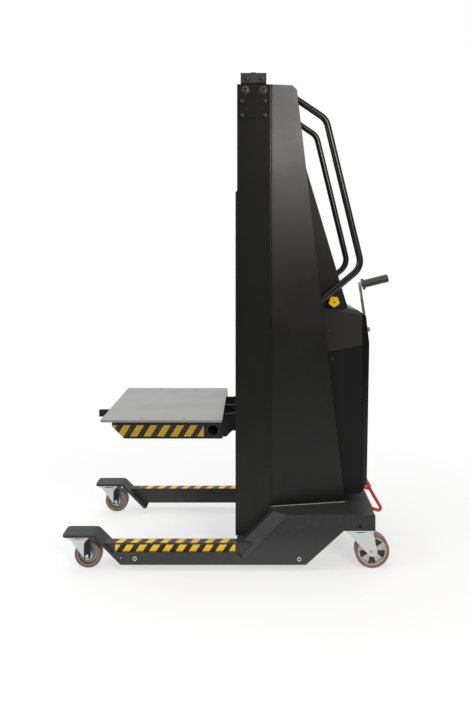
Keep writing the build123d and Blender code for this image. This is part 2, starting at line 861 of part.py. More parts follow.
cheek_inner = cheek_outer - cheek_thickness
with BuildPart() as back_plate:
    with BuildSketch(cross_plane(back_plate_x)):
        with Locations((0, (cheek_notch + cheek_high) / 2)):
            Rectangle(2 * cheek_inner, cheek_high - cheek_notch)
        with Locations((0, cheek_notch + pad_height)):
            RectangleRounded(cheek_inner, pad_height, sheet * 4, mode=Mode.SUBTRACT)
    extrude(amount=back_plate_thickness)
keep(back_plate, "carriage_back_plate")

with BuildPart() as pads:
    pad_length = post_depth - 2 * post_wall - 2 * contact_clearance
    pad_reach = post_width - post_wall - contact_clearance + post_inner - cheek_outer
    for pad_low in (cheek_notch, cheek_high - pad_height):
        with BuildSketch(plan_plane(pad_low)):
            with Locations((post_depth / 2, -cheek_outer - pad_reach / 2)):
                Rectangle(pad_length, pad_reach)
        extrude(amount=pad_height)
keep_both(pads, "slide_pads")

belt_front_x = pulley_x - pulley_radius
clamp_front = back_plate_x + back_plate_thickness
clamp_rear = belt_front_x + belt_thickness / 2 + contact_clearance + clamp_plate
with BuildPart() as clamp:
    with BuildSketch(plan_plane(clamp_low)):
        with Locations(((clamp_front + clamp_rear) / 2, 0)):
            Rectangle(clamp_rear - clamp_front, 2 * clamp_half_width)
        with Locations((belt_front_x, 0)):
            Rectangle(
                belt_thickness + 2 * contact_clearance,
                belt_width + 2 * contact_clearance,
                mode=Mode.SUBTRACT,
            )
    extrude(amount=clamp_height)
keep(clamp, "belt_clamp")

# Deck with its two side arms, a cross tube and a middle rib
arm_outer = deck_width / 2 - arm_inset
arm_outline = [
    (arm_front, deck_bottom),
    (arm_front, arm_low + arm_nose),
    (arm_front + arm_nose, arm_low),
    (deck_rear, arm_low),
    (deck_rear, deck_bottom),
]
with BuildPart() as arm:
    with BuildSketch(side_plane(arm_width - arm_outer)):
        with BuildLine():
            Polyline(*arm_outline, close=True)
        make_face()
    extrude(amount=arm_width)
    with BuildSketch(side_plane(arm_width - arm_outer)):
        with BuildLine():
            Polyline(*arm_outline, close=True)
        make_face()
        offset(amount=-arm_wall, kind=Kind.INTERSECTION, mode=Mode.REPLACE)
    extrude(amount=arm_width - arm_wall, mode=Mode.SUBTRACT)
    with BuildSketch(side_plane(arm_width - arm_outer)):
        with Locations((cross_tube_x, tube_z)):
            Circle(cross_tube_radius + running_clearance)
    extrude(amount=arm_width, mode=Mode.SUBTRACT)
keep_pair(arm, "deck_arm")

with BuildPart() as cross_tube:
    with BuildSketch(side_plane(arm_outer)):
        with Locations((cross_tube_x, tube_z)):
            Circle(cross_tube_radius)
            Circle(cross_tube_radius - cross_tube_wall, mode=Mode.SUBTRACT)
    extrude(amount=2 * arm_outer)
keep(cross_tube, "deck_cross_tube")

rib_rear = back_plate_x - contact_clearance
rib_nose_top = rib_low + rib_tip_height
rib_outline = [
    (rib_tip, rib_nose_top),
    (rib_tip, rib_low),
    (rib_rear, rib_low),
    (rib_rear, deck_bottom - contact_clearance),
    (deck_front + deck_bottom - rib_nose_top, deck_bottom - contact_clearance),
    (deck_front, rib_nose_top),
]
with BuildPart() as rib:
    with BuildSketch(side_plane(rib_thickness / 2)):
        with BuildLine():
            Polyline(*rib_outline, close=True)
        make_face()
        with Locations((cross_tube_x, tube_z)):
            Circle(cross_tube_radius + running_clearance, mode=Mode.SUBTRACT)
    extrude(amount=rib_thickness)
    fillet(rib.edges().filter_by(Axis.Y).group_by(Axis.X)[0], rib_round)
keep(rib, "deck_middle_rib")

with BuildPart() as deck:
    with BuildSketch(plan_plane(deck_bottom)):
        with Locations(((deck_front + deck_rear) / 2, 0)):
            RectangleRounded(deck_rear - deck_front, deck_width, deck_corner)
    extrude(amount=deck_thickness)
    fillet(deck.edges().group_by(Axis.Z)[-1], deck_edge_round)
keep(deck, "deck_plate")

# Foot pedal: a bail of bent rod whose two arms run forward to a tube on a hinge pin
pedal_x = wing_rear + pedal_setback
pedal_tube_half = pedal_half + 2 * pedal_rod_radius
pedal_hinge = Vector(frame_x + pedal_x, -pedal_half, pedal_z)
pedal_heel = pedal_hinge + Vector(pedal_heel_reach, 0, -pedal_heel_drop)
pedal_top = pedal_hinge + Vector(-pedal_top_lean, 0, pedal_top_rise)
across = Vector(0, 2 * pedal_half, 0)
with BuildPart() as pedal:
    with BuildLine() as bail:
        FilletPolyline(
            pedal_hinge,
            pedal_heel,
            pedal_top,
            pedal_top + across,
            pedal_heel + across,
            pedal_hinge + across,
            radius=pedal_bend,
        )
    with BuildSketch(Plane(origin=bail.line @ 0, z_dir=bail.line % 0)):
        Circle(pedal_rod_radius)
    sweep()
    add_shaft(pedal_x, pedal_z, -pedal_tube_half, pedal_tube_half, pedal_tube_radius)
    with BuildSketch(side_plane(overall_width)):
        with Locations((pedal_x, pedal_z)):
            Circle(pedal_pin_radius + running_clearance)
    extrude(amount=2 * overall_width, mode=Mode.SUBTRACT)
keep(pedal, "foot_pedal")

bracket_gap = pedal_tube_half + contact_clearance
with BuildPart() as pedal_brackets:
    for bracket_low in (-bracket_gap - pedal_bracket_thickness, bracket_gap):
        with BuildSketch(side_plane(bracket_low + pedal_bracket_thickness)):
            with Locations((pedal_x, pedal_z)):
                Circle(pedal_tube_radius)
            with Locations((wing_rear + pedal_tube_radius / 2, pedal_z)):
                Rectangle(pedal_tube_radius, 2 * pedal_tube_radius)
            make_hull()
        extrude(amount=pedal_bracket_thickness)
    add_shaft(pedal_x, pedal_z, -bracket_gap, bracket_gap, pedal_pin_radius)
keep(pedal_brackets, "pedal_hinge_bracket")

# Lobed knob on the left side of the spine
knob_x = cover_rear_at(knob_z) + knob_setback
with BuildPart() as knob:
    with BuildSketch(side_plane(-spine_half - knob_stem_length)):
        with Locations((knob_x, knob_z)):
            RegularPolygon(knob_radius, knob_lobes, rotation=-90)
    extrude(amount=knob_depth)
    fillet(knob.edges().filter_by(Axis.Y), knob_corner)
    fillet(knob.edges().group_by(Axis.Y)[0], knob_edge_round)
    with BuildSketch(side_plane(-spine_half - contact_clearance)):
        with Locations((knob_x, knob_z)):
            Circle(knob_stem_radius)
    extrude(amount=knob_stem_length)
keep(knob, "side_knob")


def add_caster(
    name, x, y, mount_z, wheel, tread_width, tread_thickness, trail, plate_size, crown_reach, spoked
):
    """Writes the mounting plate, fork with its axle, hub and tread of one swivel caster."""
    radius = wheel / 2
    axle_x = x + trail
    race_low = mount_z - caster_plate_thickness - caster_race_height
    crown_top = race_low - caster_gap
    crown_low = crown_top - fork_sheet
    race_radius = plate_size[1] / 2 - fork_sheet * 2
    fork_half = tread_width / 2 + fork_side_gap + fork_sheet
    hole_pitch_x = plate_size[0] - 4 * plate_hole_radius
    hole_pitch_y = plate_size[1] - 4 * plate_hole_radius
    with BuildPart() as plate:
        with BuildSketch(plan_plane(mount_z)):
            with Locations((x, y)):
                RectangleRounded(plate_size[0], plate_size[1], plate_hole_radius * 2)
                with GridLocations(hole_pitch_x, hole_pitch_y, 2, 2):
                    Circle(plate_hole_radius, mode=Mode.SUBTRACT)
                Circle(kingpin_radius + running_clearance, mode=Mode.SUBTRACT)
        extrude(amount=-caster_plate_thickness)
        with BuildSketch(plan_plane(race_low)):
            with Locations((x, y)):
                Circle(race_radius)
                Circle(kingpin_radius + running_clearance, mode=Mode.SUBTRACT)
        extrude(amount=caster_race_height)
    keep(plate, name + "_caster_plate")
    with BuildPart() as fork:
        with BuildSketch(plan_plane(crown_low)):
            with Locations((x, y)):
                Circle(race_radius)
                Rectangle(2 * crown_reach, 2 * fork_half)
        extrude(amount=fork_sheet)
        for cheek_y in (-fork_half, fork_half - fork_sheet):
            with BuildSketch(side_plane(y + cheek_y + fork_sheet)):
                with Locations((axle_x, radius)):
                    Circle(fork_boss_radius)
                with Locations((x, crown_low + fork_sheet / 2)):
                    Rectangle(2 * crown_reach, fork_sheet)
                make_hull()
            extrude(amount=fork_sheet)
        with BuildSketch(plan_plane(crown_low)):
            with Locations((x, y)):
                Circle(kingpin_radius)
        extrude(amount=mount_z - seam - crown_low)
        add_shaft(axle_x, radius, y - fork_half, y + fork_half, axle_radius)
        for head_y in (y - fork_half - axle_head, y + fork_half):
            with BuildSketch(side_plane(head_y + axle_head)):
                with Locations((axle_x, radius)):
                    RegularPolygon(axle_head_radius, 6)
            extrude(amount=axle_head)
    keep(fork, name + "_caster_fork")
    rim = radius - tread_thickness
    rim_inner = rim - hub_rim
    hub_half = tread_width / 2 - fork_sheet / 2
    with BuildPart() as hub:
        with BuildSketch(side_plane(y + hub_half)):
            with Locations((axle_x, radius)):
                Circle(rim - running_clearance)
                Circle(rim_inner, mode=Mode.SUBTRACT)
        extrude(amount=2 * hub_half)
        web_half = hub_half / 2
        with BuildSketch(side_plane(y + web_half)):
            with Locations((axle_x, radius)):
                Circle(rim_inner + sheet)
                if spoked:
                    window_depth = rim_inner - fork_boss_radius
                    with PolarLocations(fork_boss_radius + window_depth / 2, spoke_count, start_angle=-90):
                        Trapezoid(
                            spoke_window_width,
                            window_depth,
                            spoke_window_angle,
                            rotation=90,
                            mode=Mode.SUBTRACT,
                        )
        extrude(amount=2 * web_half)
        with BuildSketch(side_plane(y + tread_width / 2 + fork_side_gap / 2)):
            with Locations((axle_x, radius)):
                Circle(hub_boss_radius)
        extrude(amount=tread_width + fork_side_gap)
        with BuildSketch(side_plane(y + tread_width)):
            with Locations((axle_x, radius)):
                Circle(axle_radius + running_clearance)
        extrude(amount=2 * tread_width, mode=Mode.SUBTRACT)
    keep(hub, name + "_wheel_hub")
    with BuildPart() as tread:
        with BuildSketch(side_plane(y + tread_width / 2)):
            with Locations((axle_x, radius)):
                Circle(radius)
        extrude(amount=tread_width)
        fillet(tread.edges().filter_by(GeomType.CIRCLE), tread_round)
        with BuildSketch(side_plane(y + tread_width)):
            with Locations((axle_x, radius)):
                Circle(rim)
        extrude(amount=2 * tread_width, mode=Mode.SUBTRACT)
    keep(tread, name + "_wheel_tread")


front_caster_x = front_caster_setback - leg_tip_reach
rear_caster_x = wing_rear - rear_caster_setback
for side_name, side_sign in (("left", -1), ("right", 1)):
    add_caster(
        side_name + "_front", front_caster_x, side_sign * front_caster_y, gooseneck_bottom, front_wheel,
        front_tread_width, front_tread_thickness, front_trail, front_caster_plate, front_crown_reach, False,
    )
    add_caster(
        side_name + "_rear", rear_caster_x, side_sign * rear_caster_y, wing_belly, rear_wheel,
        rear_tread_width, rear_tread_thickness, rear_trail, rear_caster_plate, rear_crown_reach, True,
    )
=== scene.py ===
# %% [markdown]
# # A server lift trolley
# The trolley lifts a computer server into a rack. A crank at the back drives a belt inside the mast,
# and the belt carries a deck up and down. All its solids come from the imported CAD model, which is the
# fixed frame of this lesson. Blender adds the finishes, the tape, the screws and the studio.

# %% The frame
import json
from math import pi, radians

import bpy
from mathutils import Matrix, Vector

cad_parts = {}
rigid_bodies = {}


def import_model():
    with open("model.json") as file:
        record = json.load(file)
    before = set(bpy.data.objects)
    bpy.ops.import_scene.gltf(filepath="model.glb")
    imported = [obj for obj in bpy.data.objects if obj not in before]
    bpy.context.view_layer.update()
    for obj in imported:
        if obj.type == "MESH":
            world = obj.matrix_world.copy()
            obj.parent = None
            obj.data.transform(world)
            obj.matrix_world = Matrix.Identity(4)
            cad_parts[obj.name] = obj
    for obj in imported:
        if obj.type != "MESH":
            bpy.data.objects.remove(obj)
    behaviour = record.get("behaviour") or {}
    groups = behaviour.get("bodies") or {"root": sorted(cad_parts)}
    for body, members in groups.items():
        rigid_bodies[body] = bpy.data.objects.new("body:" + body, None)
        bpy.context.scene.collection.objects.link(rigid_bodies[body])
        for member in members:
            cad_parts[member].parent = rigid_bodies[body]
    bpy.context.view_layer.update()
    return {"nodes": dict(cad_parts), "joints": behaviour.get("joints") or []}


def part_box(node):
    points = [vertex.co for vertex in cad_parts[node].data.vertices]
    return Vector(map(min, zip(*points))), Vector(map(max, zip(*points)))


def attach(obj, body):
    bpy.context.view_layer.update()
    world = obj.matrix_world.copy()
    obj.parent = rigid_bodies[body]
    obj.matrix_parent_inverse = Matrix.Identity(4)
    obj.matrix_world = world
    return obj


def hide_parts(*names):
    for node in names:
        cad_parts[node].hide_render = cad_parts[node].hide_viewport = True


bpy.ops.object.select_all(action="SELECT")
bpy.ops.object.delete()
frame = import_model()
nodes = frame["nodes"]
bpy.ops.object.select_all(action="DESELECT")
mast_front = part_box("base_front_beam")[0][0]
print("the mast's front face is at x =", round(mast_front, 4))

# %% [markdown]
# ## The camera
# The photograph was taken level, with the picture's frame pushed down so that the uprights stay upright.
# A shifted lens does that in Blender too. The camera stands as far off and as high as the photograph's
# own perspective says, and its shift is only what the framing needs.

# %% The camera
picture_width, picture_height = 470, 705
sensor_width = 36
focal_pixels = 666.7
eye = (mast_front + 0.048, -2.705, 1.158)
level_pixel = (250, 250)
bpy.ops.object.camera_add(location=eye, rotation=(pi / 2, 0, 0))
camera = bpy.context.object
camera.name = "photo_camera"
camera.data.sensor_width = sensor_width
camera.data.lens = sensor_width * focal_pixels / picture_height
camera.data.shift_x = (picture_width / 2 - level_pixel[0]) / picture_height
camera.data.shift_y = (level_pixel[1] - picture_height / 2) / picture_height
bpy.context.scene.camera = camera
bpy.context.scene.view_settings.view_transform = "Standard"
shift = [round(camera.data.shift_x, 3), round(camera.data.shift_y, 3)]
print("lens", round(camera.data.lens, 2), "shift", shift)

# %% [markdown]
# ## Shader maths as plain sums
# A material is a net of nodes, and a sum of two values takes one Math node. Wrapping a socket in a small
# class lets the sums be written as sums, and each one adds its own node. Everything else, such as a noise
# or a bump, comes from one method that takes a node's type, its settings and its inputs.

# %% A net of nodes and its values
class Value:
    def __init__(self, net, socket):
        self.net = net
        self.socket = socket

    def math(self, operation, other=0.0, turned=False):
        pair = (other, self) if turned else (self, other)
        return self.net.node("ShaderNodeMath", {"operation": operation}, {0: pair[0], 1: pair[1]})

    def __add__(self, other):
        return self.math("ADD", other)

    def __sub__(self, other):
        return self.math("SUBTRACT", other)

    def __rsub__(self, other):
        return self.math("SUBTRACT", other, turned=True)

    def __mul__(self, other):
        return self.math("MULTIPLY", other)

    def __truediv__(self, other):
        return self.math("DIVIDE", other)

    __radd__ = __add__
    __rmul__ = __mul__

    def part(self):
        return self.math("FRACT")

    def below(self, limit):
        return self.math("LESS_THAN", limit)

    def above(self, limit):
        return self.math("GREATER_THAN", limit)

    def between(self, low, high):
        settings = {"interpolation_type": "SMOOTHSTEP"}
        inputs = {"Value": self, "From Min": low, "From Max": high}
        return self.net.node("ShaderNodeMapRange", settings, inputs)


class Net:
    def __init__(self, tree):
        self.tree = tree

    def feed(self, socket, given):
        if isinstance(given, Value):
            self.tree.links.new(given.socket, socket)
        elif hasattr(given, "__len__") and socket.type == "RGBA":
            socket.default_value = (*given, 1.0)
        else:
            socket.default_value = given

    def node(self, kind, settings=None, inputs=None, output=0):
        made = self.tree.nodes.new(kind)
        for name, setting in (settings or {}).items():
            setattr(made, name, setting)
        for name, given in (inputs or {}).items():
            self.feed(made.inputs[name], given)
        return Value(self, made.outputs[output])

    def along(self, where):
        return [self.node("ShaderNodeSeparateXYZ", {}, {0: where}, axis) for axis in "XYZ"]


# %% [markdown]
# ## A finish
# A finish is a material whose net starts from the piece's own coordinates, which are metres in the CAD
# frame because every object sits at the origin. Its methods are the few things that the finishes below
# share: a noise, a mark that a mesh carries on its faces, a mix of two colours, a bump, and putting the
# finish on CAD nodes or on a new piece.

# %% A finish and how it is put on
class Finish(Net):
    def __init__(self, name, **sockets):
        self.material = bpy.data.materials.new(name)
        self.material.use_nodes = True
        super().__init__(self.material.node_tree)
        self.shader = self.tree.nodes["Principled BSDF"]
        self.set(**sockets)
        self.place = self.node("ShaderNodeTexCoord", {}, {}, "Object")
        self.x, self.y, self.z = self.along(self.place)

    def set(self, **sockets):
        for name, given in sockets.items():
            self.feed(self.shader.inputs[name.replace("_", " ").title().replace("Ior", "IOR")], given)

    def stretched(self, along):
        return self.node("ShaderNodeMapping", {}, {"Vector": self.place, "Scale": along})

    def noise(self, scale, detail=3.0, where=None):
        inputs = {"Vector": where or self.place, "Scale": scale, "Detail": detail}
        return self.node("ShaderNodeTexNoise", {}, inputs)

    def marked(self, name):
        return self.node("ShaderNodeAttribute", {"attribute_name": name}, {}, "Fac")

    def cells(self, scale):
        return self.node("ShaderNodeTexVoronoi", {}, {"Vector": self.place, "Scale": scale}, "Color")

    def mix(self, share, first, second):
        inputs = {0: share, 6: first, 7: second}
        return self.node("ShaderNodeMix", {"data_type": "RGBA"}, inputs, 2)

    def bump(self, height, depth, strength=1.0):
        inputs = {"Height": height, "Distance": depth, "Strength": strength}
        self.set(normal=self.node("ShaderNodeBump", {}, inputs))

    def put_on(self, piece):
        piece.data.materials.clear()
        piece.data.materials.append(self.material)

    def dress(self, *names):
        for name in names:
            self.put_on(nodes[name])
        print(self.material.name, "on", len(names), "nodes")


# %% [markdown]
# ## Powder coat
# Nearly every steel sheet of the trolley is powder coated black: a satin skin with a fine orange peel, a
# little dust and rubbed patches that only show as a change of gloss. A noise of about a millimetre gives
# the peel as a bump, and two larger ones vary the gloss and the black. The base also gets paler towards the
# floor, which is painted light from the bright floor.

# %% Black powder coat
def powder_coat(name, dark, light, shine, peel, gleam=0.22, floor_bounce_light=0.0):
    coat = Finish(name, specular_ior_level=gleam)
    rubbed = coat.noise(7.0, 5.0).between(0.38, 0.68)
    dust = coat.noise(60.0, 4.0).between(0.45, 0.8)
    grain = coat.noise(430.0, 1.0)
    black = coat.mix(dust * 0.55, dark, light)
    if floor_bounce_light:
        # painted light: the lowest band of the sheet is paler, as if lit by the bright floor
        low_down = 1 - coat.z.between(0.05, 0.15)
        black = coat.mix(low_down * floor_bounce_light, black, (0.055, 0.055, 0.056))
    coat.set(base_color=black)
    coat.set(roughness=shine - 0.06 + grain * 0.12 + rubbed * 0.03 + dust * 0.02)
    coat.bump(coat.noise(850.0, 2.0), peel, 0.35)
    return coat


sides = ("left", "right")
cover_coat = powder_coat("cover_powder_coat", (0.0030, 0.0030, 0.0029), (0.0060, 0.0058, 0.0054),
                         shine=0.34, peel=0.00012, gleam=0.34)
cover_coat.dress(*[f"{side}_side_cover" for side in sides], "rear_spine_cover")
panel_coat = powder_coat("box_powder_coat", (0.0034, 0.0034, 0.0036), (0.0065, 0.0065, 0.0065),
                         shine=0.36, peel=0.00012)
panel_coat.dress("rear_panel")
base_coat = powder_coat("base_powder_coat", (0.027, 0.027, 0.028), (0.040, 0.040, 0.040),
                        shine=0.44, peel=0.00016, floor_bounce_light=0.75)
base_coat.dress(*[f"{side}_{name}" for side in sides for name in ("gooseneck", "leg_beam", "leg_cover")])
base_coat.dress("base_front_beam", "base_rear_beam", "pedal_hinge_bracket", "deck_cross_tube")
frame_coat = powder_coat("carriage_powder_coat", (0.010, 0.010, 0.0105), (0.017, 0.017, 0.017),
                         shine=0.42, peel=0.00014)
frame_coat.dress(*[f"{side}_{name}" for side in sides for name in ("carriage_cheek", "deck_arm")])
frame_coat.dress("carriage_back_plate", "deck_middle_rib", "gearbox_plate", "lower_bearing_plates")
handle_coat = powder_coat("handle_powder_coat", (0.0060, 0.0060, 0.0062), (0.010, 0.010, 0.010),
                          shine=0.26, peel=0.0001, gleam=0.50)
handle_coat.dress(*[f"{side}_push_handle" for side in sides])

# %% [markdown]
# ## The control box
# The box has a lid of a paler black, and the seam between them rises towards the rear. Its rear corner is
# folded, and the fold is painted darkest of all, as painted shade. Both are changes of one coat, picked by
# place: a height that grows with X for the seam, and an X for the fold.

# %% Two blacks on the control box
seam_foot, seam_rise = 0.707, 0.182
fold_start = 0.4745
lid_coat = Finish("box_lid_powder_coat", specular_ior_level=0.12)
from_mast = lid_coat.x - mast_front
upper = (lid_coat.z - from_mast * seam_rise).above(seam_foot)
fold_shade = from_mast.above(fold_start)
peel = lid_coat.noise(430.0, 1.0)
lower_black = lid_coat.mix(peel, (0.0060, 0.0060, 0.0064), (0.0100, 0.0100, 0.0100))
box_black = lid_coat.mix(upper, lower_black, (0.0220, 0.0220, 0.0210))
# painted shade: the rear fold is painted near-black
lid_coat.set(base_color=lid_coat.mix(fold_shade, box_black, (0.0020, 0.0020, 0.0021)))
lid_coat.set(roughness=0.31 + peel * 0.12)
lid_coat.bump(lid_coat.noise(850.0, 2.0), 0.00012, 0.35)
lid_coat.dress("control_box")

# %% [markdown]
# ## The mast's posts
# The two posts are dull black anodised aluminium, flatter than the covers' coat, with faint lines that run
# up the post from the press that made it. A noise stretched far along Z gives those lines, and the posts
# get paler towards the floor, which is painted reflection of the floor's light.

# %% Anodised posts
anodised = Finish("black_anodised_post", specular_ior_level=0.15)
drawn = anodised.noise(1.0, 3.0, anodised.stretched((900.0, 900.0, 2.0)))
handled = anodised.noise(9.0, 4.0).between(0.4, 0.75)
# handling marks pale the black a little, and the paler lower posts are painted reflection of the floor's
# light
handled_and_floor_light = handled * 0.12 + (1 - anodised.z.between(0.10, 0.75)) * 0.65
anodised.set(base_color=anodised.mix(handled_and_floor_light, (0.0058, 0.0060, 0.0060), (0.024, 0.024, 0.024)))
anodised.set(roughness=0.42 + drawn * 0.10 - handled * 0.06)
anodised.bump(drawn, 0.00005, 0.3)
anodised.dress(*[f"{side}_mast_post" for side in sides], "post_plates", "mast_top_beam")

# %% [markdown]
# ## The posts' caps
# Each post is closed by a cast cap with a paler lug down its middle, and a dark band at its foot is painted
# shade. The lug and the band are narrow, so a change of finish by place shows them.

# %% Cast caps
lug_middle, lug_half = mast_front + 0.061, 0.0108
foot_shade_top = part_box("post_caps")[0][2] + 0.0065
cast_cap = Finish("cast_post_cap", specular_ior_level=0.25)
lug = (cast_cap.x - lug_middle).math("ABSOLUTE").below(lug_half)
sand = cast_cap.noise(320.0, 3.0)
cap_grey = cast_cap.mix(sand, (0.022, 0.023, 0.022), (0.038, 0.039, 0.037))
cap_grey = cast_cap.mix(lug, cap_grey, (0.044, 0.042, 0.039))
# painted shade: the cap's lowest 6.5 mm are painted near-black, and rougher
cap_foot_shade = cast_cap.z.below(foot_shade_top)
cast_cap.set(base_color=cast_cap.mix(cap_foot_shade, cap_grey, (0.002, 0.002, 0.002)))
cast_cap.set(roughness=0.46 + sand * 0.14 + cap_foot_shade * 0.35)
cast_cap.bump(sand, 0.0002, 0.4)
cast_cap.dress("post_caps")

# %% [markdown]
# ## Zinc plate
# The caster forks are zinc plated, a bright bluish grey with a faint straw tint in patches. A large noise
# gives the tint, and small cells give the fine change of gloss that plating has.

# %% Zinc
zinc = Finish("zinc_plate", metallic=1.0)
tint = zinc.noise(22.0, 4.0).between(0.42, 0.66)
spangle = zinc.node("ShaderNodeSeparateColor", {}, {0: zinc.cells(420.0)})
zinc.set(base_color=zinc.mix(tint, (0.60, 0.66, 0.68), (0.66, 0.66, 0.60)))
zinc.set(roughness=0.30 + tint * 0.08 + spangle * 0.10)
zinc.bump(zinc.noise(500.0, 2.0), 0.00004, 0.3)
zinc.dress(*[f"{side}_{end}_caster_fork" for side in sides for end in ("front", "rear")])

# %% [markdown]
# ## Plates with a shaded race
# Under each caster plate is the swivel's ball race, which lies in shade and shows as a dark arc above the
# fork. The plate and its race are one CAD node, so that shade is painted as a change of finish at the
# race's height.

# %% Caster plates
bare_plate = 0.0042
for end in ("front", "rear"):
    plate_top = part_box(f"left_{end}_caster_plate")[1][2]
    plate_zinc = Finish(f"{end}_plate_zinc")
    # painted shade: the race below the bare plate is near-black and not metallic
    race_shade = plate_zinc.z.below(plate_top - bare_plate)
    cloud = plate_zinc.noise(22.0, 4.0)
    bright = plate_zinc.mix(cloud, (0.60, 0.66, 0.68), (0.66, 0.66, 0.60))
    plate_zinc.set(base_color=plate_zinc.mix(race_shade, bright, (0.012, 0.012, 0.012)), metallic=1 - race_shade)
    plate_zinc.set(roughness=0.32 + race_shade * 0.2 + cloud * 0.08)
    plate_zinc.dress(*[f"{side}_{end}_caster_plate" for side in sides])

# %% [markdown]
# ## Steel, wheels and the deck
# The crank and the shafts are plain oiled steel with brown stains. The rear wheels are cast aluminium, the
# front ones show turned rings about their axle, and the deck is a brushed sheet whose grain runs along it.

# %% Steel, casting and the deck's sheet
steel = Finish("oiled_steel", metallic=1.0)
stain = steel.noise(35.0, 5.0).between(0.4, 0.7)
steel.set(base_color=steel.mix(stain, (0.22, 0.205, 0.19), (0.12, 0.095, 0.075)))
steel.set(roughness=0.32 + stain * 0.16)
steel.bump(steel.noise(700.0, 2.0), 0.00004, 0.3)
steel.dress("crank_arm", "crank_shaft", "gearbox_output_shaft", "lower_drive_shaft")
steel.dress("top_idler_pulley", "belt_clamp")

casting = Finish("cast_aluminium", metallic=0.85)
grainy = casting.noise(240.0, 4.0)
casting.set(base_color=casting.mix(grainy.between(0.35, 0.7), (0.46, 0.46, 0.45), (0.62, 0.62, 0.60)))
casting.set(roughness=0.42 + grainy * 0.16)
casting.bump(grainy, 0.0002, 0.4)
casting.dress(*[f"{side}_rear_wheel_hub" for side in sides])

turned = Finish("turned_front_hub", metallic=0.7)
low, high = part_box("left_front_wheel_hub")
across, up = turned.x - (low[0] + high[0]) / 2, turned.z - (low[2] + high[2]) / 2
rings_per_metre = 95.0
rings = ((across * across + up * up).math("SQRT") * rings_per_metre).part().between(0.25, 0.8)
speck = turned.noise(260.0, 3.0)
turned.set(base_color=turned.mix(rings * 0.75 + speck * 0.25, (0.13, 0.125, 0.12), (0.36, 0.345, 0.33)))
turned.set(roughness=0.40 + rings * 0.12)
turned.bump(rings, 0.0006, 0.5)
turned.dress(*[f"{side}_front_wheel_hub" for side in sides])

sheet = Finish("brushed_deck", metallic=1.0)
grain = sheet.noise(1.0, 4.0, sheet.stretched((9.0, 900.0, 900.0)))
worn = sheet.noise(6.0, 5.0).between(0.35, 0.75)
sheet.set(base_color=sheet.mix(grain, (0.295, 0.295, 0.280), (0.355, 0.355, 0.335)))
sheet.set(roughness=0.30 + grain * 0.14 + worn * 0.10)
sheet.bump(grain, 0.00004, 0.25)
sheet.dress("deck_plate")

# %% [markdown]
# ## Plastics, rubber and the bright paints
# The caster treads are brown polyurethane with scuffs, the crank's grip a black moulded plastic, the knob
# a yellow one, and the foot pedal is painted red. The belts are ribbed black rubber, the slide pads a pale
# nylon, and the gearbox has a grey hammer paint.

# %% Treads, grip, knob, pedal and what is inside the mast
tread = Finish("brown_polyurethane", coat_weight=0.15, coat_roughness=0.35)
scuff = tread.noise(55.0, 6.0).between(0.42, 0.72)
tread.set(base_color=tread.mix(scuff, (0.185, 0.085, 0.045), (0.27, 0.145, 0.085)))
tread.set(roughness=0.38 + scuff * 0.22)
tread.bump(tread.noise(420.0, 3.0), 0.00012, 0.4)
tread.dress(*[f"{side}_{end}_wheel_tread" for side in sides for end in ("front", "rear")])


def moulded(name, low, high, shine, grain_size):
    plastic = Finish(name)
    clouds = plastic.noise(40.0, 4.0)
    plastic.set(base_color=plastic.mix(clouds, low, high), roughness=shine + clouds * 0.12)
    plastic.bump(plastic.noise(grain_size, 2.0), 0.00008, 0.35)
    return plastic


moulded("grip_plastic", (0.008, 0.008, 0.008), (0.014, 0.014, 0.014), 0.36, 900.0).dress("crank_grip")
knob_plastic = moulded("knob_plastic", (0.57, 0.385, 0.002), (0.64, 0.435, 0.004), 0.40, 600.0)
knob_plastic.set(specular_ior_level=0.10)
knob_plastic.dress("side_knob")
pedal_paint = moulded("pedal_paint", (0.50, 0.020, 0.014), (0.62, 0.034, 0.022), 0.26, 500.0)
pedal_paint.dress("foot_pedal")
moulded("slide_nylon", (0.55, 0.53, 0.47), (0.62, 0.60, 0.54), 0.42, 700.0).dress("slide_pads")
moulded("hammer_paint", (0.16, 0.17, 0.18), (0.24, 0.25, 0.26), 0.34, 180.0).dress("gearbox_housing")
rubber = Finish("belt_rubber")
belt_pitch = 0.008
ribs = (rubber.z / belt_pitch).part().between(0.2, 0.6)
rubber.set(base_color=rubber.mix(ribs, (0.010, 0.010, 0.010), (0.022, 0.022, 0.021)))
rubber.set(roughness=0.62 + ribs * 0.12)
rubber.bump(ribs, 0.0006, 0.6)
rubber.dress("lift_belt", "transfer_belt")
bare = [name for name in nodes if nodes[name].data.materials[0].name.startswith("Material")]
print("nodes with no finish of their own:", bare)

# %% [markdown]
# ## Picking and setting out
# By hand one clicks on a face, and a script picks it by where it is or which way it points. One helper does
# that. Another takes one finished model, copies it to every place where the trolley has one, joins those
# that move together, and leaves the result at the origin with its place in its mesh. The last gives the
# places on both sides of the trolley, from spots measured back from the mast's front face and up.

# %% Helpers for the small pieces
def pick(piece, test):
    bpy.ops.object.mode_set(mode="EDIT")
    bpy.ops.mesh.select_mode(type="FACE")
    bpy.ops.mesh.select_all(action="DESELECT")
    bpy.ops.object.mode_set(mode="OBJECT")
    for face in piece.data.polygons:
        face.select = test(face.center, face.normal)
    bpy.ops.object.mode_set(mode="EDIT")


def apply_all(piece):
    bpy.ops.object.mode_set(mode="OBJECT")
    for modifier in list(piece.modifiers):
        bpy.ops.object.modifier_apply(modifier=modifier.name)


def hand_over(piece, name, body, finish):
    piece.name = name
    bpy.ops.object.transform_apply(location=True, rotation=True, scale=True)
    finish.put_on(piece)
    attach(piece, body)
    print(name, "rides on", body, "with", len(piece.data.polygons), "faces")


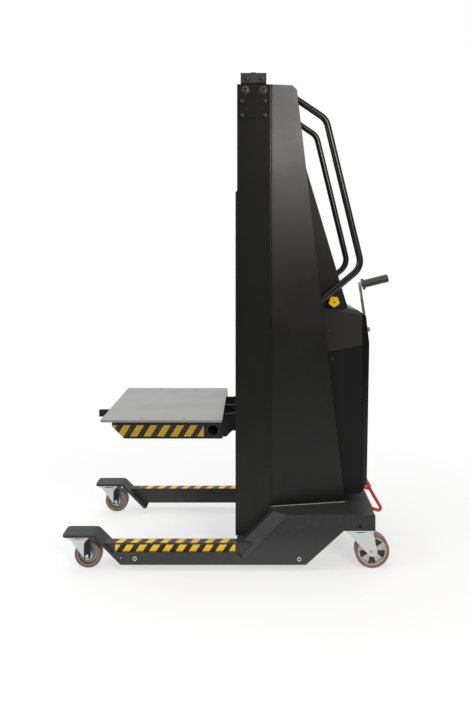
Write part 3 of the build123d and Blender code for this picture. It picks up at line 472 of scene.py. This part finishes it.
def set_out(model, name, places, body, finish):
    bpy.ops.object.select_all(action="DESELECT")
    for place, facing in places:
        copy = model.copy()
        copy.data = model.data.copy()
        bpy.context.collection.objects.link(copy)
        copy.location = place
        copy.rotation_euler = Vector(facing).to_track_quat("Z", "Y").to_euler()
        copy.select_set(True)
        bpy.context.view_layer.objects.active = copy
    if len(places) > 1:
        bpy.ops.object.join()
    hand_over(bpy.context.object, name, body, finish)
    bpy.ops.object.select_all(action="DESELECT")


def both_sides(face, *spots):
    return [((mast_front + x, side * face, z), (0, side, 0)) for side in (-1, 1) for x, z in spots]


post_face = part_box("right_mast_post")[1][1]
cap_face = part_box("post_caps")[1][1]
plate_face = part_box("post_plates")[1][1]
leg_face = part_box("right_leg_beam")[1][1]
cover_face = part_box("right_leg_cover")[1][1]
arm_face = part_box("right_deck_arm")[1][1]
print("outer faces", post_face, cap_face, plate_face, leg_face, cover_face, arm_face)

# %% [markdown]
# ## Button head bolts
# The posts, their plates and caps and the leg covers are held by button head bolts with a hexagon socket.
# A disc is the start: its rim is rounded, the big ones get a flange by an inset and an extrusion, and the
# socket is cut with a six sided bar, which is the quickest way to a hexagon in a round face. The socket's
# faces are marked, so that the finish can paint shade inside it.

# %% A button head bolt
def button_bolt(radius, height, socket, flange=0.0):
    bpy.ops.object.select_all(action="DESELECT")
    start = height * 0.3 if flange else height
    bpy.ops.mesh.primitive_cylinder_add(vertices=32, radius=radius, depth=start, location=(0, 0, start / 2))
    bolt = bpy.context.object
    bpy.ops.object.transform_apply(location=True)
    pick(bolt, lambda centre, normal: normal.z > 0.9)
    if flange:
        bpy.ops.mesh.inset(thickness=flange)
        bpy.ops.mesh.extrude_region_move(TRANSFORM_OT_translate={"value": (0, 0, height - start)})
    bpy.ops.mesh.bevel(offset=height * 0.45, segments=4, affect="EDGES")
    bpy.ops.object.mode_set(mode="OBJECT")
    middle = (0, 0, height * 0.95)
    bpy.ops.mesh.primitive_cylinder_add(vertices=6, radius=socket, depth=height, location=middle)
    bar = bpy.context.object
    bpy.ops.object.select_all(action="DESELECT")
    bpy.context.view_layer.objects.active = bolt
    cut = bolt.modifiers.new("socket", "BOOLEAN")
    cut.object = bar
    cut.solver = "EXACT"
    bpy.ops.object.modifier_apply(modifier="socket")
    bpy.data.objects.remove(bar)
    recess = bolt.data.attributes.new("recess", "FLOAT", "FACE")
    for face in bolt.data.polygons:
        inside = face.center.xy.length < socket and height * 0.3 < face.center.z < height * 0.97
        recess.data[face.index].value = float(inside)
    bolt.select_set(True)
    bpy.ops.object.shade_smooth_by_angle(angle=radians(35))
    return bolt


def bolts(name, head, places, finish, body="base"):
    bolt = button_bolt(*head)
    set_out(bolt, name, places, body, finish)
    bpy.data.objects.remove(bolt)


oxide = Finish("black_oxide")
rub = oxide.noise(260.0, 3.0).between(0.45, 0.75)
hollow = oxide.marked("recess")
oxide_grey = oxide.mix(rub, (0.060, 0.060, 0.060), (0.16, 0.155, 0.145))
# painted shade: the socket is near-black and not metallic, where shade falls
oxide.set(base_color=oxide.mix(hollow, oxide_grey, (0.006, 0.006, 0.006)), metallic=0.85 - hollow * 0.85)
oxide.set(roughness=0.30 + rub * 0.12 + hollow * 0.2)
oxide.bump(oxide.noise(900.0, 2.0), 0.00003, 0.3)
print("bolt and black oxide are made")

# %% [markdown]
# ## Bolts on the posts
# Two big bolts sit below each cap and two smaller ones in it, and each side plate has a screw in every
# corner and two pins. A head is its radius, its height, its socket's radius and, on the big ones, the
# flange's width. The places on the near side are read off the photograph, and the far side mirrors them.

# %% Bolts on the posts
big_head, cap_head = (0.0165, 0.009, 0.0062, 0.0035), (0.0098, 0.006, 0.0042)
plate_head, pin_head = (0.0075, 0.0045, 0.003), (0.0025, 0.0012, 0.0011)
corners = [(x, z) for x in (0.0183, 0.1037) for z in (1.6580, 1.7113)]
bolts("post_bolts", big_head, both_sides(post_face, (0.0313, 1.7517), (0.0974, 1.7517)), oxide)
bolts("cap_bolts", cap_head, both_sides(cap_face, (0.0346, 1.799), (0.0922, 1.799)), oxide)
bolts("plate_screws", plate_head, both_sides(plate_face, *corners), oxide)
bolts("plate_pins", pin_head, both_sides(plate_face, (0.033, 1.683), (0.0926, 1.683)), oxide)

# %% [markdown]
# ## Zinc screws
# The leg covers hang on bright zinc plated screws. Smaller dark ones hold the boxes behind the mast, and a
# row of those runs along the inner side of each leg. The deck is held by flush screws from above. They are
# all the same button head at other sizes.

# %% Zinc screws and deck screws
screw_zinc = Finish("screw_zinc")
hollow = screw_zinc.marked("recess")
cloud = screw_zinc.noise(180.0, 3.0)
screw_grey = screw_zinc.mix(cloud, (0.60, 0.66, 0.68), (0.66, 0.66, 0.62))
# painted shade: the socket is near-black and not metallic, where shade falls
screw_zinc.set(base_color=screw_zinc.mix(hollow, screw_grey, (0.008, 0.008, 0.009)), metallic=1 - hollow)
screw_zinc.set(roughness=0.30 + cloud * 0.10 + hollow * 0.25)

cover_head, small_head = (0.008, 0.0042, 0.0046), (0.004, 0.0024, 0.0018)
flush_head = (0.0055, 0.0008, 0.0024)
bolts("leg_pins", pin_head, both_sides(cover_face, (-0.418, 0.049)), screw_zinc)
cover_spots = both_sides(cover_face, (-0.3665, 0.048), (0.225, 0.046))
bolts("cover_screws", cover_head, cover_spots, screw_zinc)
spine_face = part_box("rear_spine_cover")[1][1]
box_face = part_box("control_box")[1][1]
bolts("spine_screws", small_head, both_sides(spine_face, (0.330, 0.974)), oxide)
bolts("box_screws", small_head, both_sides(box_face, (0.3465, 0.854), (0.3600, 0.744)), oxide)
leg_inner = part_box("right_leg_beam")[0][1]
row_height, row_x = 0.066, (-0.394, -0.258, -0.121)
leg_row = [((mast_front + x, way * leg_inner, row_height), (0, -way, 0)) for way in (-1, 1) for x in row_x]
bolts("leg_row_screws", small_head, leg_row, oxide)
deck_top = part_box("deck_plate")[1][2]
deck_spots = [((mast_front + x, y, deck_top), (0, 0, 1)) for x in (-0.349, -0.193) for y in (-0.260, 0.260)]
bolts("deck_screws", flush_head, deck_spots, steel, body="carriage")

# %% [markdown]
# ## Hexagon bolts under the caster plates
# Each caster plate is bolted up into the base at its four corners. Seen from low down the heads show beside
# the turning fork, so they are modelled, with a washer and the chamfer that every hexagon head has.

# %% Caster plate bolts
bpy.ops.object.select_all(action="DESELECT")
head_radius, head_height, washer_radius, washer_height = 0.0068, 0.004, 0.0082, 0.001
middle = (0, 0, washer_height + head_height / 2)
bpy.ops.mesh.primitive_cylinder_add(vertices=6, radius=head_radius, depth=head_height, location=middle)
hexagon = bpy.context.object
bpy.ops.object.transform_apply(location=True)
pick(hexagon, lambda centre, normal: normal.z > 0.9)
bpy.ops.mesh.bevel(offset=0.0008, segments=1, affect="EDGES")
middle = (0, 0, washer_height / 2)
bpy.ops.mesh.primitive_cylinder_add(vertices=24, radius=washer_radius, depth=washer_height, location=middle)
bpy.ops.object.mode_set(mode="OBJECT")
corner_inset, plate_thickness = 0.009, 0.004
for end in ("front", "rear"):
    spots = []
    for side in sides:
        low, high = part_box(f"{side}_{end}_caster_plate")
        across, along = [(low[k] + corner_inset, high[k] - corner_inset) for k in (0, 1)]
        spots += [((x, y, high[2] - plate_thickness), (0, 0, -1)) for x in across for y in along]
    set_out(hexagon, f"{end}_plate_bolts", spots, "base", zinc)
bpy.data.objects.remove(hexagon)

# %% [markdown]
# ## Straps on the front casters
# A black strap comes down over each cheek of the front forks to the axle, with a shoulder near its top.
# A flat bar is extruded twice for the shoulder and its edges are bevelled. It lies on the axle's head,
# under a small nut, and turns with its fork. The rear casters have the nut alone.

# %% Front caster straps
def axle_of(wheel):
    low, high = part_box(wheel)
    return [(a + b) / 2 for a, b in zip(low, high)], (high[1] - low[1]) / 2


def on_axle(wheel, stand):
    axle, half = axle_of(wheel)
    return [((axle[0], axle[1] + way * (half + stand), axle[2]), (0, way, 0)) for way in (-1, 1)]


head_stand = 0.0125
strap_width, strap_length, strap_thickness = 0.023, 0.055, 0.003
strap_middle = (0, 0.0175, strap_thickness / 2)
nut = button_bolt(0.0066, 0.0034, 0.0026)
strap_coat = powder_coat("strap_coat", (0.010, 0.010, 0.011), (0.018, 0.018, 0.018), 0.36, 0.0001)
bpy.ops.object.select_all(action="DESELECT")
strap_size = (strap_width, strap_length, strap_thickness)
bpy.ops.mesh.primitive_cube_add(size=1, location=strap_middle, scale=strap_size)
strap = bpy.context.object
bpy.ops.object.transform_apply(location=True, scale=True)
pick(strap, lambda centre, normal: normal.y > 0.9)
bpy.ops.mesh.extrude_region_move(TRANSFORM_OT_translate={"value": (0, 0.003, 0)})
bpy.ops.transform.resize(value=(0.78, 1, 1), center_override=(0.0115, 0.048, 0))
bpy.ops.mesh.extrude_region_move(TRANSFORM_OT_translate={"value": (0, 0.006, 0)})
bpy.ops.mesh.select_all(action="SELECT")
bpy.ops.mesh.bevel(offset=0.0008, segments=2, affect="EDGES")
bpy.ops.object.mode_set(mode="OBJECT")
for side in sides:
    fork, front_wheel = f"{side}_front_caster", f"{side}_front_wheel_tread"
    spots = on_axle(front_wheel, head_stand)
    set_out(strap, f"{side}_front_straps", spots, fork, strap_coat)
    spots = on_axle(front_wheel, head_stand + strap_thickness)
    set_out(nut, f"{side}_front_nuts", spots, fork, zinc)
    spots = on_axle(f"{side}_rear_wheel_tread", head_stand)
    set_out(nut, f"{side}_rear_nuts", spots, f"{side}_rear_caster", zinc)
bpy.data.objects.remove(strap)
bpy.data.objects.remove(nut)

# %% [markdown]
# ## The seam beside the posts
# Where the tower's sheet meets the post there are two fine upright ribs, which show as a pair of light
# lines with dark ones between. One rib is a long bar with its long edges rounded, copied beside itself.

# %% Seam ribs
foot, top_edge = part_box("right_side_cover")[0][2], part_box("right_side_cover")[1][2]
rib_size = (0.0034, top_edge - foot, 0.0014)
bpy.ops.object.select_all(action="DESELECT")
bpy.ops.mesh.primitive_cube_add(size=1, location=(0, 0, rib_size[2] / 2), scale=rib_size)
rib = bpy.context.object
bpy.ops.object.transform_apply(location=True, scale=True)
pick(rib, lambda centre, normal: normal.z > 0.9)
bpy.ops.mesh.bevel(offset=rib_size[2] / 2, segments=3, affect="EDGES")
bpy.ops.object.mode_set(mode="OBJECT")
upright = (foot + top_edge) / 2
rib_spots = both_sides(post_face, (0.1223, upright), (0.1292, upright))
set_out(rib, "seam_ribs", rib_spots, "base", cover_coat)
bpy.data.objects.remove(rib)

# %% [markdown]
# ## Gasket, lid seam and foot strip
# A black rubber gasket shows as a dark line where the control box meets the tower, and another closes the
# box's lid. A pale strip along the tower's lower edge is a painted highlight, the light that edge catches.
# All are thin bars between two points on the CAD sheets, so each is added at its length, turned to lie
# along its edge, and gets rounded edges.

# %% Gasket, lid seam and foot strip
def bar_between(start, end, thickness):
    run = Vector(end) - Vector(start)
    bpy.ops.object.select_all(action="DESELECT")
    turn = run.to_track_quat("Z", "Y").to_euler()
    bpy.ops.mesh.primitive_cube_add(size=1, location=(Vector(start) + Vector(end)) / 2, rotation=turn)
    bar = bpy.context.object
    bar.scale = (thickness, thickness, run.length)
    bpy.ops.object.transform_apply(scale=True)
    bpy.ops.object.mode_set(mode="EDIT")
    bpy.ops.mesh.select_all(action="SELECT")
    bpy.ops.mesh.bevel(offset=thickness * 0.25, segments=2, affect="EDGES")
    bpy.ops.object.mode_set(mode="OBJECT")
    return bar


gasket_rubber = moulded("gasket_rubber", (0.0015, 0.0015, 0.0015), (0.003, 0.003, 0.003), 0.7, 600.0)
gasket_rubber.set(specular_ior_level=0.05)
# a painted highlight: a pale bar where the tower's lower edge catches the light
foot_highlight_paint = moulded("foot_strip_highlight", (0.30, 0.29, 0.27), (0.42, 0.41, 0.38), 0.4, 500.0)
ways = {"left": -1, "right": 1}
gasket_width, seam_width, strip_width = 0.003, 0.0016, 0.0026
gasket_ends = ((0.3215, 0.934), (0.4053, 0.233))
seam_ends = (0.341, 0.476)
strip_ends = ((0.1232, post_face + 0.0002), (0.4080, 0.1798))
strip_height = foot + 0.0008
for side, way in ways.items():
    ends = [(mast_front + x, way * box_face, z) for x, z in gasket_ends]
    bar = bar_between(*ends, gasket_width)
    hand_over(bar, f"{side}_box_gasket", "base", gasket_rubber)
    ends = [(mast_front + x, way * box_face, seam_foot + x * seam_rise) for x in seam_ends]
    bar = bar_between(*ends, seam_width)
    hand_over(bar, f"{side}_lid_seam", "base", gasket_rubber)
    ends = [(mast_front + x, way * y, strip_height) for x, y in strip_ends]
    bar = bar_between(*ends, strip_width)
    hand_over(bar, f"{side}_foot_strip", "base", foot_highlight_paint)

# %% [markdown]
# ## Plugs and the knob's cap
# A rubber plug closes a hole in each leg cover's wing, and the yellow knob has a small dark cap over its
# screw. Each is a disc with a rounded rim and a dished middle, made by an inset and a small extrusion.

# %% Plugs
def plug(radius, height, rim):
    bpy.ops.object.select_all(action="DESELECT")
    middle = (0, 0, height / 2)
    bpy.ops.mesh.primitive_cylinder_add(vertices=28, radius=radius, depth=height, location=middle)
    disc = bpy.context.object
    bpy.ops.object.transform_apply(location=True)
    pick(disc, lambda centre, normal: normal.z > 0.9)
    bpy.ops.mesh.bevel(offset=height * 0.4, segments=3, affect="EDGES")
    pick(disc, lambda centre, normal: normal.z > 0.99)
    bpy.ops.mesh.inset(thickness=rim)
    bpy.ops.mesh.extrude_region_move(TRANSFORM_OT_translate={"value": (0, 0, -height * 0.6)})
    bpy.ops.object.mode_set(mode="OBJECT")
    bpy.ops.object.shade_smooth_by_angle(angle=radians(35))
    return disc


plug_rubber = moulded("plug_rubber", (0.004, 0.004, 0.004), (0.008, 0.008, 0.008), 0.6, 800.0)
plug_rubber.set(specular_ior_level=0.08)
disc = plug(0.0052, 0.0014, 0.0012)
set_out(disc, "wing_plugs", both_sides(cover_face, (0.445, 0.162)), "base", plug_rubber)
bpy.data.objects.remove(disc)
low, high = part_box("side_knob")
disc = plug(0.0032, 0.0008, 0.0008)
knob_spot = [(((low[0] + high[0]) / 2, low[1], (low[2] + high[2]) / 2), (0, -1, 0))]
set_out(disc, "knob_cap", knob_spot, "side_knob", plug_rubber)
bpy.data.objects.remove(disc)

# %% [markdown]
# ## Painted shade in the rear wheels
# Through the windows of the rear wheels one looks into shade inside the wheel, not through the wheel. A
# dished dark disc in the middle of each wheel is that painted shade, and it is the same disc as the plugs,
# only larger.

# %% Rear wheel shade discs
# painted shade: a dark disc stands in for the shade inside each rear wheel
window_shade_coat = moulded("wheel_window_shade", (0.030, 0.030, 0.029), (0.060, 0.058, 0.054), 0.5, 400.0)
disc = plug(0.0462, 0.003, 0.012)
for side in sides:
    wheel = f"{side}_rear_wheel"
    axle = axle_of(f"{wheel}_tread")[0]
    for way, name in ((-1, "near"), (1, "far")):
        set_out(disc, f"{side}_rear_{name}_shade_disc", [(axle, (0, way, 0))], wheel, window_shade_coat)
bpy.data.objects.remove(disc)

# %% [markdown]
# ## Hazard tape
# Yellow and black tape runs along the outside and the top of each leg and along the deck's arms. The
# stripes are paint on a thin strip, so they belong in the material: the fraction of a slanted distance is
# below the stripe's share or not. The distance runs along X and leans with Z on the sides and with Y on
# the top, and it starts at a corner where the photograph shows a stripe begin.

# %% The tape's print
def hazard_print(name, across, lean, corner, pitch, share, shade_dim=1.0):
    tape = Finish(name, coat_weight=0.12, coat_roughness=0.25, specular_ior_level=0.3)
    start = mast_front + corner[0] - corner[1] * lean
    slanted = tape.x - {"y": tape.y, "z": tape.z}[across] * lean - start
    enough_pitches = 100.0
    stripe = (slanted / pitch + enough_pitches).part().below(share)
    scuff = tape.noise(70.0, 5.0).between(0.5, 0.8)
    # shade_dim below 1 darkens the yellow as painted shade
    new_yellow = (0.88 * shade_dim, 0.54 * shade_dim, 0.004)
    yellow = tape.mix(scuff * 0.6, new_yellow, (0.66 * shade_dim, 0.41 * shade_dim, 0.03 * shade_dim))
    black = tape.mix(scuff, (0.011, 0.011, 0.011), (0.035, 0.034, 0.032))
    tape.set(base_color=tape.mix(stripe, black, yellow), roughness=0.36 + scuff * 0.18)
    tape.bump(tape.noise(300.0, 2.0), 0.00005, 0.3)
    return tape


side_print = hazard_print("leg_side_tape", "z", 0.68, (-0.4136, 0.0692), 0.048, 0.535)
top_print = hazard_print("leg_top_tape", "y", 0.43, (-0.440, -0.291), 0.0539, 0.48)
# the arm's tape is dimmed to 0.45: the deck's shadow painted on it
arm_print = hazard_print("arm_tape", "z", 0.62, (-0.3889, 0.479), 0.0488, 0.523, shade_dim=0.45)
print("three tape prints are made")

# %% [markdown]
# ## The tape's strips
# A strip is a plane, turned to face outwards or up, trimmed where the arm's nose slopes, and given the
# tape's thickness by a Solidify modifier.

# %% Tape on the legs and arms
tape_thickness = 0.0004


def tape_strip(centre, facing, length, width, cut=None):
    bpy.ops.object.select_all(action="DESELECT")
    tilt = (0, 0, 0) if facing[2] else (facing[1] * -pi / 2, 0, 0)
    bpy.ops.mesh.primitive_plane_add(size=1, location=centre, rotation=tilt)
    strip = bpy.context.object
    strip.scale = (length, width, 1)
    bpy.ops.object.transform_apply(location=True, rotation=True, scale=True)
    if cut:
        bpy.ops.object.mode_set(mode="EDIT")
        bpy.ops.mesh.select_all(action="SELECT")
        bpy.ops.mesh.bisect(plane_co=cut[0], plane_no=cut[1], clear_outer=True)
        bpy.ops.object.mode_set(mode="OBJECT")
    thick = strip.modifiers.new("thickness", "SOLIDIFY")
    thick.thickness = tape_thickness
    thick.offset = 1.0
    apply_all(strip)
    return strip


leg_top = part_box("right_leg_beam")[1][2]
leg_run, leg_middle = 0.435, mast_front - 0.2225
side_height, side_width, top_width = 0.0811, 0.0238, 0.033
nose, arm_root, nose_gap = mast_front - 0.455, mast_front - 0.1195, 0.001
arm_height, arm_width, trim_height = 0.4995, 0.041, 0.516
for side, way in ways.items():
    side_middle = (leg_middle, way * leg_face, side_height)
    strip = tape_strip(side_middle, (0, way, 0), leg_run, side_width)
    hand_over(strip, f"{side}_leg_side_tape", "base", side_print)
    top_middle = (leg_middle, way * (leg_face + leg_inner) / 2, leg_top)
    strip = tape_strip(top_middle, (0, 0, 1), leg_run, top_width)
    hand_over(strip, f"{side}_leg_top_tape", "base", top_print)
    arm_middle = ((nose + arm_root) / 2, way * arm_face, arm_height)
    trim = ((nose + nose_gap, 0, trim_height), (-1, 0, -1))
    strip = tape_strip(arm_middle, (0, way, 0), arm_root - nose - nose_gap, arm_width, trim)
    hand_over(strip, f"{side}_arm_tape", "carriage", arm_print)

# %% [markdown]
# ## Softened edges
# A folded or cut sheet never has a perfectly sharp edge, and the thin light lines along the black sheets in
# the photograph are that small round catching the light. A CAD node is left alone, so a copy of its mesh is
# merged into one skin, bevelled along its sharp edges, and takes the node's place. Weighted normals keep
# the large faces looking flat up to the bevel.

# %% Sheets with softened edges
def soften(name, body, width, reshape=None, flat_faces=True):
    sheet = bpy.data.objects.new(f"{name}_softened", nodes[name].data.copy())
    bpy.context.collection.objects.link(sheet)
    bpy.ops.object.select_all(action="DESELECT")
    sheet.select_set(True)
    bpy.context.view_layer.objects.active = sheet
    bpy.ops.mesh.customdata_custom_splitnormals_clear()
    bpy.ops.object.mode_set(mode="EDIT")
    bpy.ops.mesh.select_all(action="SELECT")
    bpy.ops.mesh.remove_doubles(threshold=0.00001)
    bpy.ops.mesh.dissolve_limited(angle_limit=radians(0.5))
    if reshape:
        reshape(sheet)
    bpy.ops.object.mode_set(mode="OBJECT")
    if width:
        edge = sheet.modifiers.new("edge", "BEVEL")
        edge.width = width
        edge.segments = 2
        edge.limit_method = "ANGLE"
        edge.angle_limit = radians(35)
        bpy.ops.object.modifier_apply(modifier="edge")
    bpy.ops.object.shade_smooth_by_angle(angle=radians(50))
    if flat_faces:
        flat = sheet.modifiers.new("flat", "WEIGHTED_NORMAL")
        flat.keep_sharp = True
        flat.weight = 100
        bpy.ops.object.modifier_apply(modifier="flat")
    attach(sheet, body)
    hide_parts(name)
    print(name, "softened:", len(sheet.data.polygons), "faces")


# %% [markdown]
# ## Two reshaped copies
# Two copies are also changed a little, after the photograph. The post plates reach lower, so their under
# side is moved down. The crank's grip is fuller, so its outer wall is pushed out and its bore is left
# alone. A round grip needs no bevel and no flat faces.

# %% Two reshaped copies
plate_reach, grip_growth, bore_clear = 0.008, 0.002, 0.012


def lower_foot(sheet):
    pick(sheet, lambda centre, normal: normal.z < -0.9)
    bpy.ops.transform.translate(value=(0, 0, -plate_reach))


def fuller_grip(sheet):
    spin = next(joint for joint in frame["joints"] if joint["name"] == "grip_spin")
    axis, root = Vector(spin["axis"]), Vector(spin["pos_m"])

    def outer_wall(centre, normal):
        off_axis = (centre - root).cross(axis).length
        return abs(normal.dot(axis)) < 0.5 and off_axis > bore_clear

    pick(sheet, outer_wall)
    bpy.ops.transform.shrink_fatten(value=grip_growth)


# %% [markdown]
# ## All the softened pieces
# Folded sheet gets a round of just under a millimetre. It is smaller than the photograph can show, so it is
# an estimate from how thin the light lines are. The cast caps and the deck plate get the largest one.

# %% All the softened pieces
for side in sides:
    for name in ("side_cover", "leg_cover", "gooseneck", "leg_beam"):
        soften(f"{side}_{name}", "base", 0.0009)
    soften(f"{side}_deck_arm", "carriage", 0.0009)
soften("rear_spine_cover", "base", 0.0008)
soften("control_box", "base", 0.0008)
soften("post_plates", "base", 0.0007, lower_foot)
soften("crank_grip", "crank_grip", 0, fuller_grip, flat_faces=False)
soften("post_caps", "base", 0.0012)
soften("deck_plate", "carriage", 0.0010)

# %% [markdown]
# ## The studio
# The photograph has a white sweep with only a soft shadow under the trolley. The world is white to the
# camera all round, and in reflections it is white behind the trolley and dim behind the camera, as a
# studio is, which is why the black sheets stay black. The floor is white paper that keeps a share of its
# real light near the trolley, so that the shadow shows, and fades to plain white away from it. It is one
# sheet of five metres, so the covers don't mirror white floor from far behind the camera.

# %% World and floor
studio = bpy.data.worlds.new("studio")
bpy.context.scene.world = studio
studio.use_nodes = True
sky = Net(studio.node_tree)


def ray(net, kind):
    return net.node("ShaderNodeLightPath", {}, {}, f"Is {kind} Ray")


seen = ray(sky, "Camera")
mirrored = ray(sky, "Glossy") + ray(sky, "Transmission")
backwards = sky.along(sky.node("ShaderNodeTexCoord", {}, {}, "Generated"))[1]
room_light = 0.18 + backwards.between(-0.05, 0.65) * 0.52
mirror_light = 0.14 + backwards.between(0.20, 0.85) * 0.86
lit = (1 - seen - mirrored) * room_light + mirrored * mirror_light
background = sky.tree.nodes["Background"]
background.inputs["Color"].default_value = (1, 1, 1, 1)
sky.feed(background.inputs["Strength"], seen + lit)

floor_size = 5
bpy.ops.mesh.primitive_plane_add(size=floor_size)
floor = bpy.context.object
floor.name = "studio_floor"
paper = Finish("white_paper", base_color=(0.92, 0.92, 0.92), roughness=0.7)
far = (paper.x * paper.x + paper.y * paper.y).between(0.5, 2.6)
white_share = 0.60 + far * 0.40
white = (ray(paper, "Camera") + ray(paper, "Glossy") + ray(paper, "Transmission")) * white_share
glow = paper.node("ShaderNodeEmission")
skin = Value(paper, paper.shader.outputs[0])
blend = paper.node("ShaderNodeMixShader", {}, {0: white, 1: skin, 2: glow})
paper.feed(paper.tree.nodes["Material Output"].inputs["Surface"], blend)
paper.put_on(floor)
print("world and floor are made")

# %% [markdown]
# ## The lamps
# Only the tapered covers of the tower glow in the photograph, and they face a little to the camera's right,
# so one soft lamp stands there at the height that their glow shows. A wide one hangs above, and a weak one
# at the front fills in the legs.

# %% Three soft lamps
def softbox(name, place, aim, size, watts, colour=(1, 1, 1)):
    bpy.ops.object.light_add(type="AREA", location=place)
    lamp = bpy.context.object
    lamp.name = name
    lamp.data.shape = "SQUARE"
    lamp.data.size = size
    lamp.data.energy = watts
    lamp.data.color = colour
    lamp.rotation_euler = (Vector(aim) - Vector(place)).to_track_quat("-Z", "Y").to_euler()
    print(name, "at", place, "with", watts, "W")


warm_white = (1.0, 0.955, 0.90)
softbox("key_softbox", (1.55, -3.3, 2.35), (0.2, 0.0, 1.3), size=1.1, watts=75.0, colour=warm_white)
softbox("top_softbox", (-0.6, 0.2, 4.2), (0.0, 0.0, 0.6), size=4.6, watts=135.0)
softbox("front_softbox", (-3.2, -1.6, 2.2), (0.0, 0.0, 0.5), size=1.6, watts=45.0)
